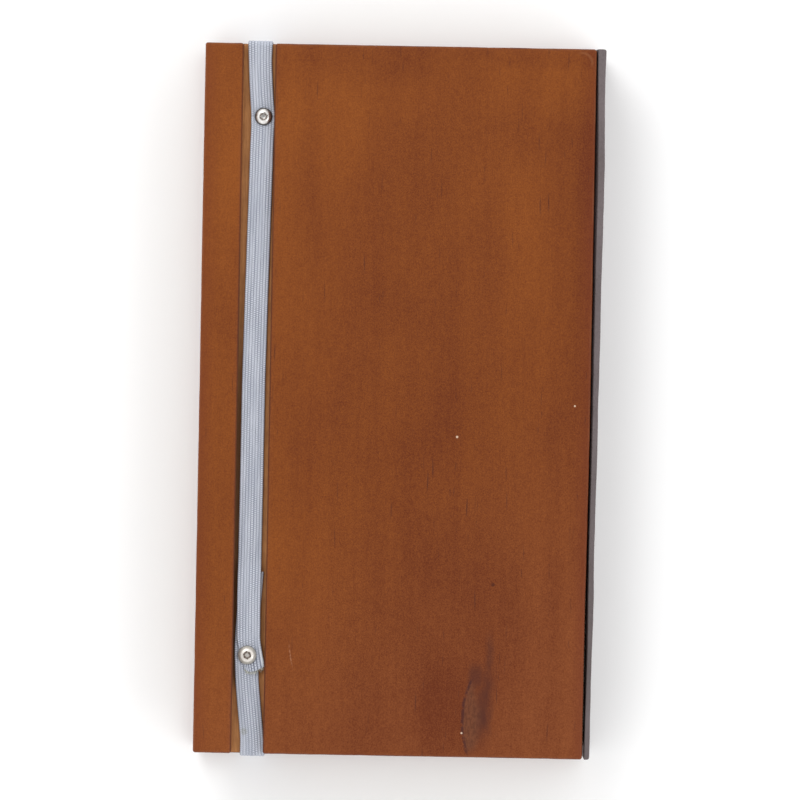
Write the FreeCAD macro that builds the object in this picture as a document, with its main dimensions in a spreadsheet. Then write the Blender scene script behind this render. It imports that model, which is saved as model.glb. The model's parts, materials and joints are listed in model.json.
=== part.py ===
"""Wedding guest book with pine covers, a leather spine strap and an elastic closure.

The book lies on its front cover. +Z points out of the back cover, +Y towards the head of the
pages and +X towards the spine. The origin is at the bottom centre of the whole book.
All sizes are in millimetres.
"""

import FreeCAD, Part
import os
import Sketcher

DIMENSIONS = {
    # covers
    "board_width": 120.0,
    "board_height": 217.8,
    "board_thickness": 8.0,
    "board_round": 0.8,
    # channel that takes the elastic, near the fore-edge of each cover
    "groove_offset": 11.8,
    "groove_width": 9.7,
    "groove_depth": 3.0,
    "front_groove_depth": 1.5,
    # leather strap glued across the spine-side edges of both covers
    "strap_thickness": 2.0,
    "strap_setback": 0.5,
    "strap_round": 0.8,
    "hinge_gap": 0.1,
    # text block
    "page_square": 4.0,
    "fore_square": 4.0,
    "paper_thickness": 0.2,
    "leaf_thickness": 0.25,
    "leaf_gap": 0.15,
    "leaf_fold_gap": 0.3,
    "leaf_lift": 2.3,
    "signature_thickness": 1.45,
    "fold_round": 0.65,
    "block_spine_gap": 1.0,
    "lining_thickness": 0.3,
    "lining_gap": 0.1,
    "thread_diameter": 0.4,
    "thread_pitch": 44.0,
    # elastic
    "band_width": 7.0,
    "band_thickness": 0.8,
    "band_squeezed": 0.4,
    "band_gap": 0.15,
    "band_bend": 1.0,
    "band_split": 5.0,
    "band_overlap": 25.0,
    "band_ramp": 3.0,
    "band_end": 5.0,
    # button head screws and their threaded inserts
    "head_diameter": 5.7,
    "head_height": 1.65,
    "head_rim": 0.3,
    "head_clearance": 0.4,
    "socket_across": 2.0,
    "socket_depth": 1.0,
    "socket_chamfer": 0.25,
    "shank_diameter": 3.0,
    "shank_end_gap": 0.4,
    "shank_clearance": 0.1,
    "shank_chamfer": 0.4,
    "insert_diameter": 4.8,
    "insert_cover": 0.5,
    "insert_recess": 0.2,
    "thread_clearance": 0.03,
    "upper_screw_from_head": 22.4,
    "upper_screw_from_fore": 18.15,
    "lower_screw_from_tail": 30.1,
    "lower_screw_from_fore": 16.15,
}

SIGNATURES_PER_COVER = 4
LEAVES_PER_COVER = 2
THREAD_STATIONS = 5

doc = FreeCAD.newDocument("guest_book")
dims = doc.addObject("Spreadsheet::Sheet", "dims")
for row, (alias, size) in enumerate(DIMENSIONS.items(), start=1):
    dims.set(f"A{row}", alias)
    dims.set(f"B{row}", str(size))
    dims.setAlias(f"B{row}", alias)
doc.recompute()


def total(*terms):
    """One expression that adds its terms. A term that starts with a minus sign is taken away."""
    return " + ".join(f"({term})" for term in terms)


# Places along X, as expressions
FORE_X = "-(dims.board_width + dims.strap_thickness) / 2"
SPINE_X = total(FORE_X, "dims.board_width")
STRAP_X = total(SPINE_X, "dims.strap_thickness")
GROOVE_X = total(FORE_X, "dims.groove_offset")
GROOVE_MID_X = total(GROOVE_X, "dims.groove_width / 2")
PAGE_SPINE_X = total(SPINE_X, "-dims.block_spine_gap")
PAGE_FORE_X = total(FORE_X, "dims.fore_square")
BAND_X = total(GROOVE_MID_X, "-dims.band_width / 2")

# Places along Y
HEAD_Y = "dims.board_height / 2"
TAIL_Y = "-dims.board_height / 2"
PAGE_HEAD_Y = total(HEAD_Y, "-dims.page_square")
PAGE_TAIL_Y = total(TAIL_Y, "dims.page_square")
UPPER_Y = total(HEAD_Y, "-dims.upper_screw_from_head")
LOWER_Y = total(TAIL_Y, "dims.lower_screw_from_tail")
SPLIT_Y = total(UPPER_Y, "dims.band_split")
OVERLAP_Y = total(LOWER_Y, "dims.band_overlap")

# Heights, from the outside of the front cover up
COVER_Z = "dims.board_thickness"
HALF_BLOCK = f"(2 * dims.paper_thickness + {SIGNATURES_PER_COVER} * dims.signature_thickness)"
LEAF_STEP = "(dims.leaf_gap + dims.leaf_thickness)"
MIDDLE = f"({2 * LEAVES_PER_COVER} * {LEAF_STEP} + dims.leaf_gap)"
BLOCK = f"(2 * {HALF_BLOCK} + {MIDDLE})"
MIDDLE_Z = total(COVER_Z, HALF_BLOCK)
BACK_INNER_Z = total(COVER_Z, BLOCK)
BACK_Z = total(BACK_INNER_Z, "dims.board_thickness")
GROOVE_FLOOR_Z = total(BACK_Z, "-dims.groove_depth")


def value(expression):
    """The number that an expression gives now."""
    result = dims.evalExpression(expression)
    return float(getattr(result, "Value", result))


def bind(item, **expressions):
    """Binds properties to expressions. A double underscore in a name stands for a dot."""
    for name, expression in expressions.items():
        item.setExpression(name.replace("__", "."), expression)
    return item


def place(item, x="0", y="0", z="0"):
    """Puts an object at a point given by expressions."""
    return bind(item, Placement__Base__x=x, Placement__Base__y=y, Placement__Base__z=z)


def label(item, name):
    """Gives a finished sub-part its name, which is also its file's name."""
    item.Label = name
    PIECES.append(item)
    return item


PIECES = []


# Part primitives ------------------------------------------------------------------------------


def box(name, x, y, z, length, width, height):
    """A Part::Box from its lowest corner and its three sizes."""
    item = doc.addObject("Part::Box", name)
    bind(item, Length=length, Width=width, Height=height)
    return place(item, x, y, z)


def cylinder(name, radius, height, x="0", y="0", z="0"):
    item = doc.addObject("Part::Cylinder", name)
    bind(item, Radius=radius, Height=height)
    return place(item, x, y, z)


def cone(name, low_radius, high_radius, height, z="0"):
    item = doc.addObject("Part::Cone", name)
    bind(item, Radius1=low_radius, Radius2=high_radius, Height=height)
    return place(item, z=z)


def boolean(kind, name, base, tool):
    item = doc.addObject(f"Part::{kind}", name)
    item.Base = base
    item.Tool = tool
    return item


def fillet(name, base, radius, keep):
    """Rounds the edges of base that keep(edge) picks."""
    doc.recompute()
    item = doc.addObject("Part::Fillet", name)
    item.Base = base
    size = value(radius)
    item.Edges = [(i, size, size) for i, edge in enumerate(base.Shape.Edges, 1) if keep(edge)]
    return item


def along(axis):
    """Picks straight edges that run along an axis: 0 is X, 1 is Y and 2 is Z."""

    def keep(edge):
        step = edge.Vertexes[-1].Point - edge.Vertexes[0].Point
        return step.Length > 0 and abs(abs(step[axis]) - step.Length) < 1e-6

    return keep


# PartDesign bodies ----------------------------------------------------------------------------


def new_body(name):
    return doc.addObject("PartDesign::Body", name)


def new_sketch(body, name, plane, offset="0"):
    """A sketch on one of its body's origin planes, moved along the plane's normal."""
    sketch = body.newObject("Sketcher::SketchObject", name)
    origin = [f for f in body.Origin.OriginFeatures if f.Role == plane][0]
    sketch.AttachmentSupport = [(origin, "")]
    sketch.MapMode = "FlatFace"
    sketch.setExpression("AttachmentOffset.Base.z", offset)
    return sketch


def pin_point(sketch, geometry, end, u, v):
    """Holds a point of the sketch at (u, v), which are expressions."""
    for kind, expression in (("DistanceX", u), ("DistanceY", v)):
        index = sketch.addConstraint(
            Sketcher.Constraint(kind, -1, 1, geometry, end, value(expression))
        )
        sketch.setExpression(f"Constraints[{index}]", expression)


def polygon(sketch, corners):
    """A closed outline of straight lines through corners, each an (u, v) pair of expressions."""
    points = [FreeCAD.Vector(value(u), value(v), 0) for u, v in corners]
    lines = [
        sketch.addGeometry(Part.LineSegment(start, points[(i + 1) % len(points)]), False)
        for i, start in enumerate(points)
    ]
    for i, line in enumerate(lines):
        following = lines[(i + 1) % len(lines)]
        sketch.addConstraint(Sketcher.Constraint("Coincident", line, 2, following, 1))
    for line, (u, v) in zip(lines, corners):
        pin_point(sketch, line, 1, u, v)
    return sketch


def rectangle(sketch, u_low, u_high, v_low, v_high):
    return polygon(sketch, [(u_low, v_low), (u_high, v_low), (u_high, v_high), (u_low, v_high)])


def circle(sketch, u, v, radius):
    centre = FreeCAD.Vector(value(u), value(v), 0)
    ring = sketch.addGeometry(Part.Circle(centre, FreeCAD.Vector(0, 0, 1), value(radius)), False)
    pin_point(sketch, ring, 3, u, v)
    index = sketch.addConstraint(Sketcher.Constraint("Radius", ring, value(radius)))
    sketch.setExpression(f"Constraints[{index}]", radius)
    return sketch


def pad(body, name, sketch, length, middle=False):
    feature = body.newObject("PartDesign::Pad", name)
    feature.Profile = sketch
    feature.Midplane = middle
    feature.setExpression("Length", length)
    return feature


def pocket(body, name, sketch, depth, upwards=False):
    """Cuts the sketch's outline out of the body, downwards unless told otherwise."""
    doc.recompute()
    before = body.Shape.Volume
    feature = body.newObject("PartDesign::Pocket", name)
    feature.Profile = sketch
    feature.Reversed = upwards
    feature.setExpression("Length", depth)
    doc.recompute()
    if not body.Shape.Volume < before:
        raise RuntimeError(f"{name} cuts nothing")
    return feature


def round_edges(body, name, base, radius, keep=None):
    """A PartDesign fillet on the edges of base that keep(edge) picks, or on all of them."""
    doc.recompute()
    names = [
        f"Edge{i}" for i, edge in enumerate(base.Shape.Edges, 1) if keep is None or keep(edge)
    ]
    feature = body.newObject("PartDesign::Fillet", name)
    feature.Base = (base, names)
    feature.setExpression("Radius", radius)
    return feature


def slab(name, x_low, x_high, y_low, y_high, z_low, thickness):
    """A body that is one flat rectangular pad. Returns the body and its pad."""
    body = new_body(name)
    outline = rectangle(new_sketch(body, f"{name}_outline", "XY_Plane", z_low),
                        x_low, x_high, y_low, y_high)
    return body, pad(body, f"{name}_pad", outline, thickness)


# Covers ---------------------------------------------------------------------------------------


def cover_board(name, z_low):
    """A pine board with eased edges, as tall and wide as the book's covers."""
    body, base = slab(f"{name}_body", FORE_X, SPINE_X, TAIL_Y, HEAD_Y, z_low, COVER_Z)
    round_edges(body, f"{name}_eased", base, "dims.board_round")
    return body


def groove_outline(body, name, z):
    """The elastic's channel seen from above, run out past the head and tail."""
    return rectangle(
        new_sketch(body, name, "XY_Plane", z),
        GROOVE_X,
        total(GROOVE_X, "dims.groove_width"),
        total(TAIL_Y, "-1"),
        total(HEAD_Y, "1"),
    )


def ease_groove_ends(body, name, groove, floor_z):
    """Rounds the two edges that the elastic bends over, in step with its own bend."""

    def at_end(edge):
        point = edge.Vertexes[0].Point
        at_floor = abs(point.z - value(floor_z)) < 0.01
        return along(0)(edge) and at_floor and abs(point.y) > value(HEAD_Y) - 0.01

    return round_edges(body, name, groove, "dims.band_bend", at_end)


def front_cover_board():
    body = cover_board("front_cover_board", "0")
    outline = groove_outline(body, "front_groove_outline", "0")
    groove = pocket(body, "front_groove", outline, "dims.front_groove_depth", upwards=True)
    ease_groove_ends(body, "front_groove_ends", groove, "dims.front_groove_depth")
    label(body, "front_cover_board")


def head_relief(name):
    """Room for a screw's head, which only takes wood away if the head is wider than the channel
    leaves room for."""
    x, y = SCREWS[name]
    low_z = total(GROOVE_FLOOR_Z, "dims.band_squeezed / 2")
    radius = f"{HEAD_RADIUS} + dims.head_clearance"
    return cylinder(f"{name}_relief", radius, "dims.groove_depth", x, y, low_z)


def back_cover_board():
    """The back board has a deeper channel and two stepped holes for the screws and inserts."""
    body = cover_board("back_cover_board", BACK_INNER_Z)
    outline = groove_outline(body, "back_groove_outline", BACK_Z)
    groove = pocket(body, "back_groove", outline, "dims.groove_depth")
    ease_groove_ends(body, "back_groove_ends", groove, GROOVE_FLOOR_Z)
    for name, (x, y) in SCREWS.items():
        hole = new_sketch(body, f"{name}_hole_outline", "XY_Plane", GROOVE_FLOOR_Z)
        circle(hole, x, y, "dims.shank_diameter / 2 + dims.shank_clearance")
        pocket(body, f"{name}_hole", hole, WOOD_UNDER_GROOVE)
        seat = new_sketch(body, f"{name}_insert_outline", "XY_Plane", BACK_INNER_Z)
        circle(seat, x, y, "dims.insert_diameter / 2")
        depth = total("dims.insert_recess", INSERT_LENGTH)
        pocket(body, f"{name}_insert_hole", seat, depth, upwards=True)
    reliefs = boolean("Fuse", "head_reliefs", *[head_relief(name) for name in SCREWS])
    label(boolean("Cut", "back_board_relieved", body, reliefs), "back_cover_board")


# Spine strap ----------------------------------------------------------------------------------


def strap_panel(name, z_low, height):
    """One panel of the leather strap, standing against the spine-side edge."""
    body, base = slab(f"{name}_body", SPINE_X, STRAP_X, TAIL_Y, HEAD_Y, z_low, height)
    corner = "min(dims.strap_round; dims.strap_thickness / 2.1)"

    def outer_corner(edge):
        return along(2)(edge) and edge.Vertexes[0].Point.x > value(SPINE_X) + 0.01

    round_edges(body, f"{name}_corners", base, corner, outer_corner)
    label(body, name)


def spine_strap():
    """The strap is one piece of leather, split where it bends: a panel glued to each cover's
    edge, and the spine panel between them."""
    strap_panel("strap_on_front_cover", "dims.strap_setback", "dims.board_thickness"
                " - dims.strap_setback - dims.hinge_gap / 2")
    strap_panel("strap_spine_panel", total(COVER_Z, "dims.hinge_gap / 2"),
                total(BLOCK, "-dims.hinge_gap"))
    strap_panel("strap_on_back_cover", total(BACK_INNER_Z, "dims.hinge_gap / 2"),
                "dims.board_thickness - dims.strap_setback - dims.hinge_gap / 2")


# Text block -----------------------------------------------------------------------------------


def paper(name, z_low, thickness, x_low=PAGE_FORE_X, x_high=PAGE_SPINE_X):
    """A flat sheet as large as the pages."""
    body, _ = slab(f"{name}_body", x_low, x_high, PAGE_TAIL_Y, PAGE_HEAD_Y, z_low, thickness)
    label(body, name)


def signature(name, z_low):
    """A gathering of folded sheets, rounded along its fold at the spine."""
    body, base = slab(f"{name}_body", PAGE_FORE_X, PAGE_SPINE_X, PAGE_TAIL_Y, PAGE_HEAD_Y,
                      z_low, "dims.signature_thickness")
    fold = "min(dims.fold_round; dims.signature_thickness / 2.1)"

    def at_fold(edge):
        return along(1)(edge) and edge.Vertexes[0].Point.x > value(PAGE_SPINE_X) - 0.01

    round_edges(body, f"{name}_fold", base, fold, at_fold)
    label(body, name)


def leaf_pivot_x(rank):
    """Where a leaf of the middle signature turns: far enough from the strap that the opened
    leaf lies above its half of the text block. Rank 0 lies next to that half."""
    return total(STRAP_X, f"-{HALF_BLOCK}", "-2 * dims.leaf_gap", "-dims.leaf_thickness / 2",
                 "-dims.leaf_lift", f"-{rank} * {LEAF_STEP}")


def middle_signature(number):
    """The gathering that the book opens at: its sewn fold and its leaves, which turn."""
    count = 2 * LEAVES_PER_COVER
    for i in range(count):
        z = total(MIDDLE_Z, "dims.leaf_gap", f"{i} * {LEAF_STEP}")
        pivot = leaf_pivot_x(min(i, count - 1 - i))
        paper(f"signature_{number}_leaf_{i + 1}", z, "dims.leaf_thickness", x_high=pivot)
    paper(f"signature_{number}_fold", total(MIDDLE_Z, "dims.leaf_gap"),
          total(MIDDLE, "-2 * dims.leaf_gap"), x_low=total(leaf_pivot_x(0), "dims.leaf_fold_gap"))


def text_block():
    """Endpapers and signatures, from the front up."""
    sheet = "dims.paper_thickness"
    gathering = "dims.signature_thickness"
    paper("front_pastedown", COVER_Z, sheet)
    paper("front_flyleaf", total(COVER_Z, sheet), sheet)
    for i in range(SIGNATURES_PER_COVER):
        signature(f"signature_{i + 1}", total(COVER_Z, f"2 * {sheet}", f"{i} * {gathering}"))
    middle_signature(SIGNATURES_PER_COVER + 1)
    upper_half_z = total(MIDDLE_Z, MIDDLE)
    for i in range(SIGNATURES_PER_COVER):
        number = SIGNATURES_PER_COVER + 2 + i
        signature(f"signature_{number}", total(upper_half_z, f"{i} * {gathering}"))
    paper("back_flyleaf", total(BACK_INNER_Z, f"-2 * {sheet}"), sheet)
    paper("back_pastedown", total(BACK_INNER_Z, f"-{sheet}"), sheet)


def binding():
    """The cloth lining inside the strap, and the sewing between it and the signatures."""
    lining_x = total(SPINE_X, "-dims.lining_gap", "-dims.lining_thickness")
    clear_z = total(COVER_Z, "dims.paper_thickness")
    clear_height = total(BLOCK, "-2 * dims.paper_thickness")
    lining = box("spine_lining_box", lining_x, PAGE_TAIL_Y, clear_z, "dims.lining_thickness",
                 "dims.board_height - 2 * dims.page_square", clear_height)
    label(lining, "spine_lining")
    thread_x = f"(({lining_x}) + ({PAGE_SPINE_X})) / 2"
    stitches = doc.addObject("Part::Compound", "sewing_threads_group")
    stitches.Links = [
        cylinder(f"thread_{i + 1}", "dims.thread_diameter / 2", clear_height, thread_x,
                 f"dims.thread_pitch * {i - (THREAD_STATIONS - 1) / 2}", clear_z)
        for i in range(THREAD_STATIONS)
    ]
    label(stitches, "sewing_threads")


# Screws and inserts ---------------------------------------------------------------------------

SCREWS = {
    "upper_screw": (total(FORE_X, "dims.upper_screw_from_fore"), UPPER_Y),
    "lower_screw": (total(FORE_X, "dims.lower_screw_from_fore"), LOWER_Y),
}
LAYERS_UNDER = {"upper_screw": 1, "lower_screw": 2}
WOOD_UNDER_GROOVE = "(dims.board_thickness - dims.groove_depth)"
SHANK_LENGTH = f"({WOOD_UNDER_GROOVE} + dims.band_squeezed - dims.shank_end_gap)"
INSERT_LENGTH = f"({WOOD_UNDER_GROOVE} - dims.insert_recess - dims.insert_cover)"
HEAD_RADIUS = "dims.head_diameter / 2"
DOME_RISE = "(dims.head_height - dims.head_rim)"
DOME_RADIUS = f"(({HEAD_RADIUS})^2 + {DOME_RISE}^2) / (2 * {DOME_RISE})"


def screw(name):
    """A button head screw with a hexagon socket. Its own origin is under the head."""
    head = cylinder(f"{name}_head", HEAD_RADIUS, "dims.head_height")
    dome = doc.addObject("Part::Sphere", f"{name}_dome")
    bind(dome, Radius=DOME_RADIUS)
    place(dome, z=total("dims.head_height", f"-({DOME_RADIUS})"))
    button = boolean("Common", f"{name}_button", head, dome)
    radius = "dims.shank_diameter / 2"
    straight = f"{SHANK_LENGTH} - dims.shank_chamfer"
    shank = cylinder(f"{name}_shank", radius, straight, z=f"-({straight})")
    tip = cone(f"{name}_tip", f"{radius} - dims.shank_chamfer", radius, "dims.shank_chamfer",
               z=f"-{SHANK_LENGTH}")
    solid = boolean("Fuse", f"{name}_solid", button, boolean("Fuse", f"{name}_stem", shank, tip))
    socket_z = "dims.head_height - dims.socket_depth"
    corner = "dims.socket_across / sqrt(3)"
    socket = doc.addObject("Part::Prism", f"{name}_socket")
    socket.Polygon = 6
    bind(socket, Circumradius=corner, Height="dims.socket_depth + 1")
    place(socket, z=socket_z)
    mouth = cone(f"{name}_mouth", corner, f"{corner} + 2 * dims.socket_chamfer",
                 "2 * dims.socket_chamfer", z="dims.head_height - dims.socket_chamfer")
    drive = boolean("Fuse", f"{name}_drive", socket, mouth)
    whole = boolean("Cut", f"{name}_whole", solid, drive)
    x, y = SCREWS[name]
    layers = f"{LAYERS_UNDER[name]} * dims.band_squeezed"
    label(place(whole, x, y, total(GROOVE_FLOOR_Z, layers)), name)


def insert(name, screw_name):
    """A threaded brass sleeve set into the inside of the back board."""
    outside = cylinder(f"{name}_outside", "dims.insert_diameter / 2", INSERT_LENGTH)
    bore = cylinder(f"{name}_bore", "dims.shank_diameter / 2 + dims.thread_clearance",
                    f"{INSERT_LENGTH} + 2", z="-1")
    x, y = SCREWS[screw_name]
    sleeve = boolean("Cut", f"{name}_sleeve", outside, bore)
    label(place(sleeve, x, y, total(BACK_INNER_Z, "dims.insert_recess")), name)


# Elastic --------------------------------------------------------------------------------------


def screw_cut(name, band, screw_name, layers_below):
    """Takes the screw's hole and the dent of its head out of a layer of the elastic."""
    x, y = SCREWS[screw_name]
    base_z = total(GROOVE_FLOOR_Z, f"{layers_below} * dims.band_squeezed")
    hole = cylinder(f"{name}_hole", "dims.shank_diameter / 2 + dims.shank_clearance",
                    "3 * dims.band_thickness", x, y, GROOVE_FLOOR_Z)
    dent = cylinder(f"{name}_dent", f"{HEAD_RADIUS} + dims.shank_clearance", "dims.head_height",
                    x, y, total(base_z, "dims.band_squeezed"))
    return boolean("Cut", name, band, boolean("Fuse", f"{name}_tool", hole, dent))


def elastic_back_run():
    """The stretch between the screws. Near the lower screw it climbs onto the other end."""
    body = new_body("elastic_back_run_body")
    sketch = new_sketch(body, "back_run_outline", "YZ_Plane", GROOVE_MID_X)
    floor, thick = GROOVE_FLOOR_Z, "dims.band_thickness"
    end_y = total(LOWER_Y, "-dims.band_end")
    foot_y = total(OVERLAP_Y, "dims.band_ramp")
    raised = total(floor, thick)
    polygon(sketch, [
        (SPLIT_Y, floor),
        (SPLIT_Y, raised),
        (foot_y, raised),
        (OVERLAP_Y, total(raised, thick)),
        (end_y, total(raised, thick)),
        (end_y, raised),
        (OVERLAP_Y, raised),
        (foot_y, floor),
    ])
    pad(body, "back_run_pad", sketch, "dims.band_width", middle=True)
    pinned = screw_cut("back_run_upper", body, "upper_screw", 0)
    label(screw_cut("back_run_lower", pinned, "lower_screw", 1), "elastic_back_run")


def rounded_ring_box(name, side_y, z_low, z_high, bend):
    """A block round the book, in the elastic's width, with its four long corners rounded."""
    block = box(f"{name}_box", BAND_X, f"-({side_y})", z_low, "dims.band_width",
                f"2 * ({side_y})", total(z_high, f"-({z_low})"))
    return fillet(name, block, bend, along(0))


def elastic_closure_loop():
    """The free stretch: over the head, down the front cover, round the tail and back up to
    end under the lower screw."""
    inner_y = total(HEAD_Y, "dims.band_gap")
    front_z = "dims.front_groove_depth"
    inner = rounded_ring_box("loop_inside", inner_y, total(front_z, "-dims.band_gap"),
                             GROOVE_FLOOR_Z, "dims.band_bend")
    outer = rounded_ring_box("loop_outside", total(inner_y, "dims.band_thickness"),
                             total(front_z, "-dims.band_gap", "-dims.band_thickness"),
                             total(GROOVE_FLOOR_Z, "dims.band_thickness"),
                             "dims.band_bend + dims.band_thickness")
    ring = boolean("Cut", "loop_ring", outer, inner)
    window = box("loop_window", total(BAND_X, "-1"), OVERLAP_Y,
                 total(GROOVE_FLOOR_Z, "-dims.band_thickness"), "dims.band_width + 2",
                 total(SPLIT_Y, f"-({OVERLAP_Y})"), "4 * dims.band_thickness")
    open_ring = boolean("Cut", "loop_open", ring, window)
    label(screw_cut("loop_lower", open_ring, "lower_screw", 0), "elastic_closure_loop")


# Build, check and write -----------------------------------------------------------------------


def check_and_write(folder="parts"):
    """Refuses a failed feature or an invalid shape, then writes one STEP file for each piece."""
    doc.recompute()
    for item in doc.Objects:
        if {"Invalid", "Error"} & set(item.State):
            raise RuntimeError(f"{item.Name} failed: {item.State}")
    for piece in PIECES:
        if piece.Shape.isNull() or not piece.Shape.isValid() or not piece.Shape.Solids:
            raise RuntimeError(f"{piece.Label} has no valid solid")
    os.makedirs(folder, exist_ok=True)
    for old in os.listdir(folder):
        os.remove(os.path.join(folder, old))
    for piece in PIECES:
        piece.Shape.exportStep(os.path.join(folder, f"{piece.Label}.step"))
        size = piece.Shape.BoundBox
        print(f"{piece.Label:24s} solids {len(piece.Shape.Solids)}  {piece.Shape.Volume:10.1f} mm3"
              f"  x {size.XMin:.2f}..{size.XMax:.2f}  y {size.YMin:.2f}..{size.YMax:.2f}"
              f"  z {size.ZMin:.2f}..{size.ZMax:.2f}")


front_cover_board()
back_cover_board()
spine_strap()
text_block()
binding()
for screw_name in SCREWS:
    screw(screw_name)
    insert(screw_name.replace("screw", "insert"), screw_name)
elastic_back_run()
elastic_closure_loop()
check_and_write()
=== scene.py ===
"""The looks of a wedding guest book, built round its CAD frame.

The closed book lies on its front cover with its back cover up: +X is the spine, +Y the head of
the pages. Blender works in metres. Sizes here are in millimetres times MM, and places come from
the frame. Shader fields work in millimetres too.
"""

import json
import math
import random

import bmesh
import bpy
import numpy as np
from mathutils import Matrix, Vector, noise


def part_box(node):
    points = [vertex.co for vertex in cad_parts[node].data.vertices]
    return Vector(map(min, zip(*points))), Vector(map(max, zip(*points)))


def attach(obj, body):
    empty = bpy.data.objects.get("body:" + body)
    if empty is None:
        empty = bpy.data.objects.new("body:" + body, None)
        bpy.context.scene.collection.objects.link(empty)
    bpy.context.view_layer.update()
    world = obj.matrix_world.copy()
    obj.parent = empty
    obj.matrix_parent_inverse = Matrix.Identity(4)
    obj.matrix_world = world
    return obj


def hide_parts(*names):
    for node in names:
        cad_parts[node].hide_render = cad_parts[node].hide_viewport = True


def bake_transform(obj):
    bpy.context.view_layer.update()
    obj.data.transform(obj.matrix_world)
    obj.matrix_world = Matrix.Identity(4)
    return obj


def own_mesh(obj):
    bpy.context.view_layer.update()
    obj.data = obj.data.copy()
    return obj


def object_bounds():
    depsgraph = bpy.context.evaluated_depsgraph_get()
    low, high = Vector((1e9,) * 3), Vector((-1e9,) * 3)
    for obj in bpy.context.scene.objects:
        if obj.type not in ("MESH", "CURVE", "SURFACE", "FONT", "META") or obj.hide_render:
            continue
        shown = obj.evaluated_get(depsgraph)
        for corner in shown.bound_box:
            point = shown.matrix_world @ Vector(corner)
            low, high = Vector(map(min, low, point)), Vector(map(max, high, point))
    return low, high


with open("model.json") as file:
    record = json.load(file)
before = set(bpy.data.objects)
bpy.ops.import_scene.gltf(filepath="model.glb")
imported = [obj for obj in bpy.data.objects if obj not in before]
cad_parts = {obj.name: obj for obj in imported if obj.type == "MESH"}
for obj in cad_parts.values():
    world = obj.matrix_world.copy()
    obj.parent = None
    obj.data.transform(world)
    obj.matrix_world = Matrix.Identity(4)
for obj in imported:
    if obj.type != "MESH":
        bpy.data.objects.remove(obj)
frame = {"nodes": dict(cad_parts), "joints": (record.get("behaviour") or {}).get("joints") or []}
CAD_LOW, CAD_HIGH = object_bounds()
MM = 0.001

# Places that the frame gives
BACK_LOW, BACK_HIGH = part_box("back_cover_board")
FRONT_LOW, FRONT_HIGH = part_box("front_cover_board")
RUN_LOW, RUN_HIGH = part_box("elastic_back_run")
LOOP_LOW, LOOP_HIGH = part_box("elastic_closure_loop")
SCREW_CENTRES = {
    name: (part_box(name)[0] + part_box(name)[1]) / 2 for name in ("upper_screw", "lower_screw")
}
JOINTS = {joint["name"]: joint for joint in frame["joints"]}
FRONT_HINGE = Vector(JOINTS["front_hinge"]["pos_m"])
BACK_HINGE = Vector(JOINTS["back_hinge"]["pos_m"])
GROOVE_X = (RUN_LOW.x + RUN_HIGH.x) / 2
GROOVE_FLOOR_Z = RUN_LOW.z
HEAD_Y = BACK_HIGH.y

# Sizes that the solids have but their boxes don't show
GROOVE_WIDTH = 9.7 * MM
FRONT_GROOVE_DEPTH = 1.5 * MM
BOARD_ROUND = 0.8 * MM
BAND_THICKNESS = 0.8 * MM
BAND_SQUEEZED = 0.4 * MM
HEAD_RADIUS = 2.85 * MM
HEAD_HEIGHT = 1.65 * MM
SHANK_RADIUS = 1.5 * MM
UPPER_HEAD_RADIUS = 2.68 * MM
SOCKET_ACROSS = 2.25 * MM

# Where the bent pieces leave one body and reach the next, measured from the hinges
PAGE_BEND_START = 9.0 * MM
LEAF_BEND_REACH = 3.0 * MM


# Meshes ---------------------------------------------------------------------------------------


def make_piece(name, points, faces, material, sharp=35.0, uvs=None):
    """A smooth-shaded mesh object. Edges over sharp degrees stay crisp. uvs has one per point."""
    mesh = bpy.data.meshes.new(name)
    mesh.from_pydata([tuple(point) for point in points], [], faces)
    if uvs is not None:
        layer = mesh.uv_layers.new(name="strip")
        for loop in mesh.loops:
            layer.data[loop.index].uv = uvs[loop.vertex_index]
    work = bmesh.new()
    work.from_mesh(mesh)
    bmesh.ops.recalc_face_normals(work, faces=work.faces)
    work.to_mesh(mesh)
    work.free()
    mesh.polygons.foreach_set("use_smooth", [True] * len(mesh.polygons))
    mesh.set_sharp_from_angle(angle=math.radians(sharp))
    mesh.materials.append(material)
    piece = bpy.data.objects.new(name, mesh)
    bpy.context.scene.collection.objects.link(piece)
    return piece


def join_rings(count, size, first=0, closed=True):
    """Quads between count rings of size points each, numbered from first."""
    faces = []
    for ring in range(count - 1):
        for i in range(size if closed else size - 1):
            a = first + ring * size + i
            b = first + ring * size + (i + 1) % size
            faces.append((a, b, b + size, a + size))
    return faces


def skin(rings, caps=True):
    """Points and faces of a closed surface through rings of points."""
    size = len(rings[0])
    points = [point for ring in rings for point in ring]
    faces = join_rings(len(rings), size)
    if caps:
        faces.append(tuple(range(size)))
        faces.append(tuple(range(len(points) - size, len(points))))
    return points, faces


def merge(parts):
    """Points and faces of several meshes as one."""
    points, faces = [], []
    for part_points, part_faces in parts:
        first = len(points)
        points.extend(part_points)
        faces.extend(tuple(first + i for i in face) for face in part_faces)
    return points, faces


def arc(centre, radius, start, end, steps):
    """Points on an arc in a plane, from angle start to end, in degrees."""
    angles = [math.radians(start + (end - start) * i / steps) for i in range(steps + 1)]
    return [
        (centre[0] + radius * math.cos(a), centre[1] + radius * math.sin(a)) for a in angles
    ]


def span(start, end, step):
    """Evenly spaced numbers from start to end, about step apart, with both ends."""
    return [float(v) for v in np.linspace(start, end, max(2, round(abs(end - start) / step) + 1))]


def eased_stations(low_y, high_y, reach, spacing, steps):
    """Places along Y as (y, pinch), close together at the ends. pinch falls from 1 at an end to
    0 at reach from it."""
    turns = np.linspace(math.pi / 2, 0, steps)
    ends = [(reach * (1 - math.sin(a)), 1 - math.cos(a)) for a in turns]
    stations = [(low_y + inset, pinch) for inset, pinch in ends]
    stations += [(y, 0.0) for y in span(low_y + reach, high_y - reach, spacing)[1:-1]]
    return stations + [(high_y - inset, pinch) for inset, pinch in reversed(ends)]


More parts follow.
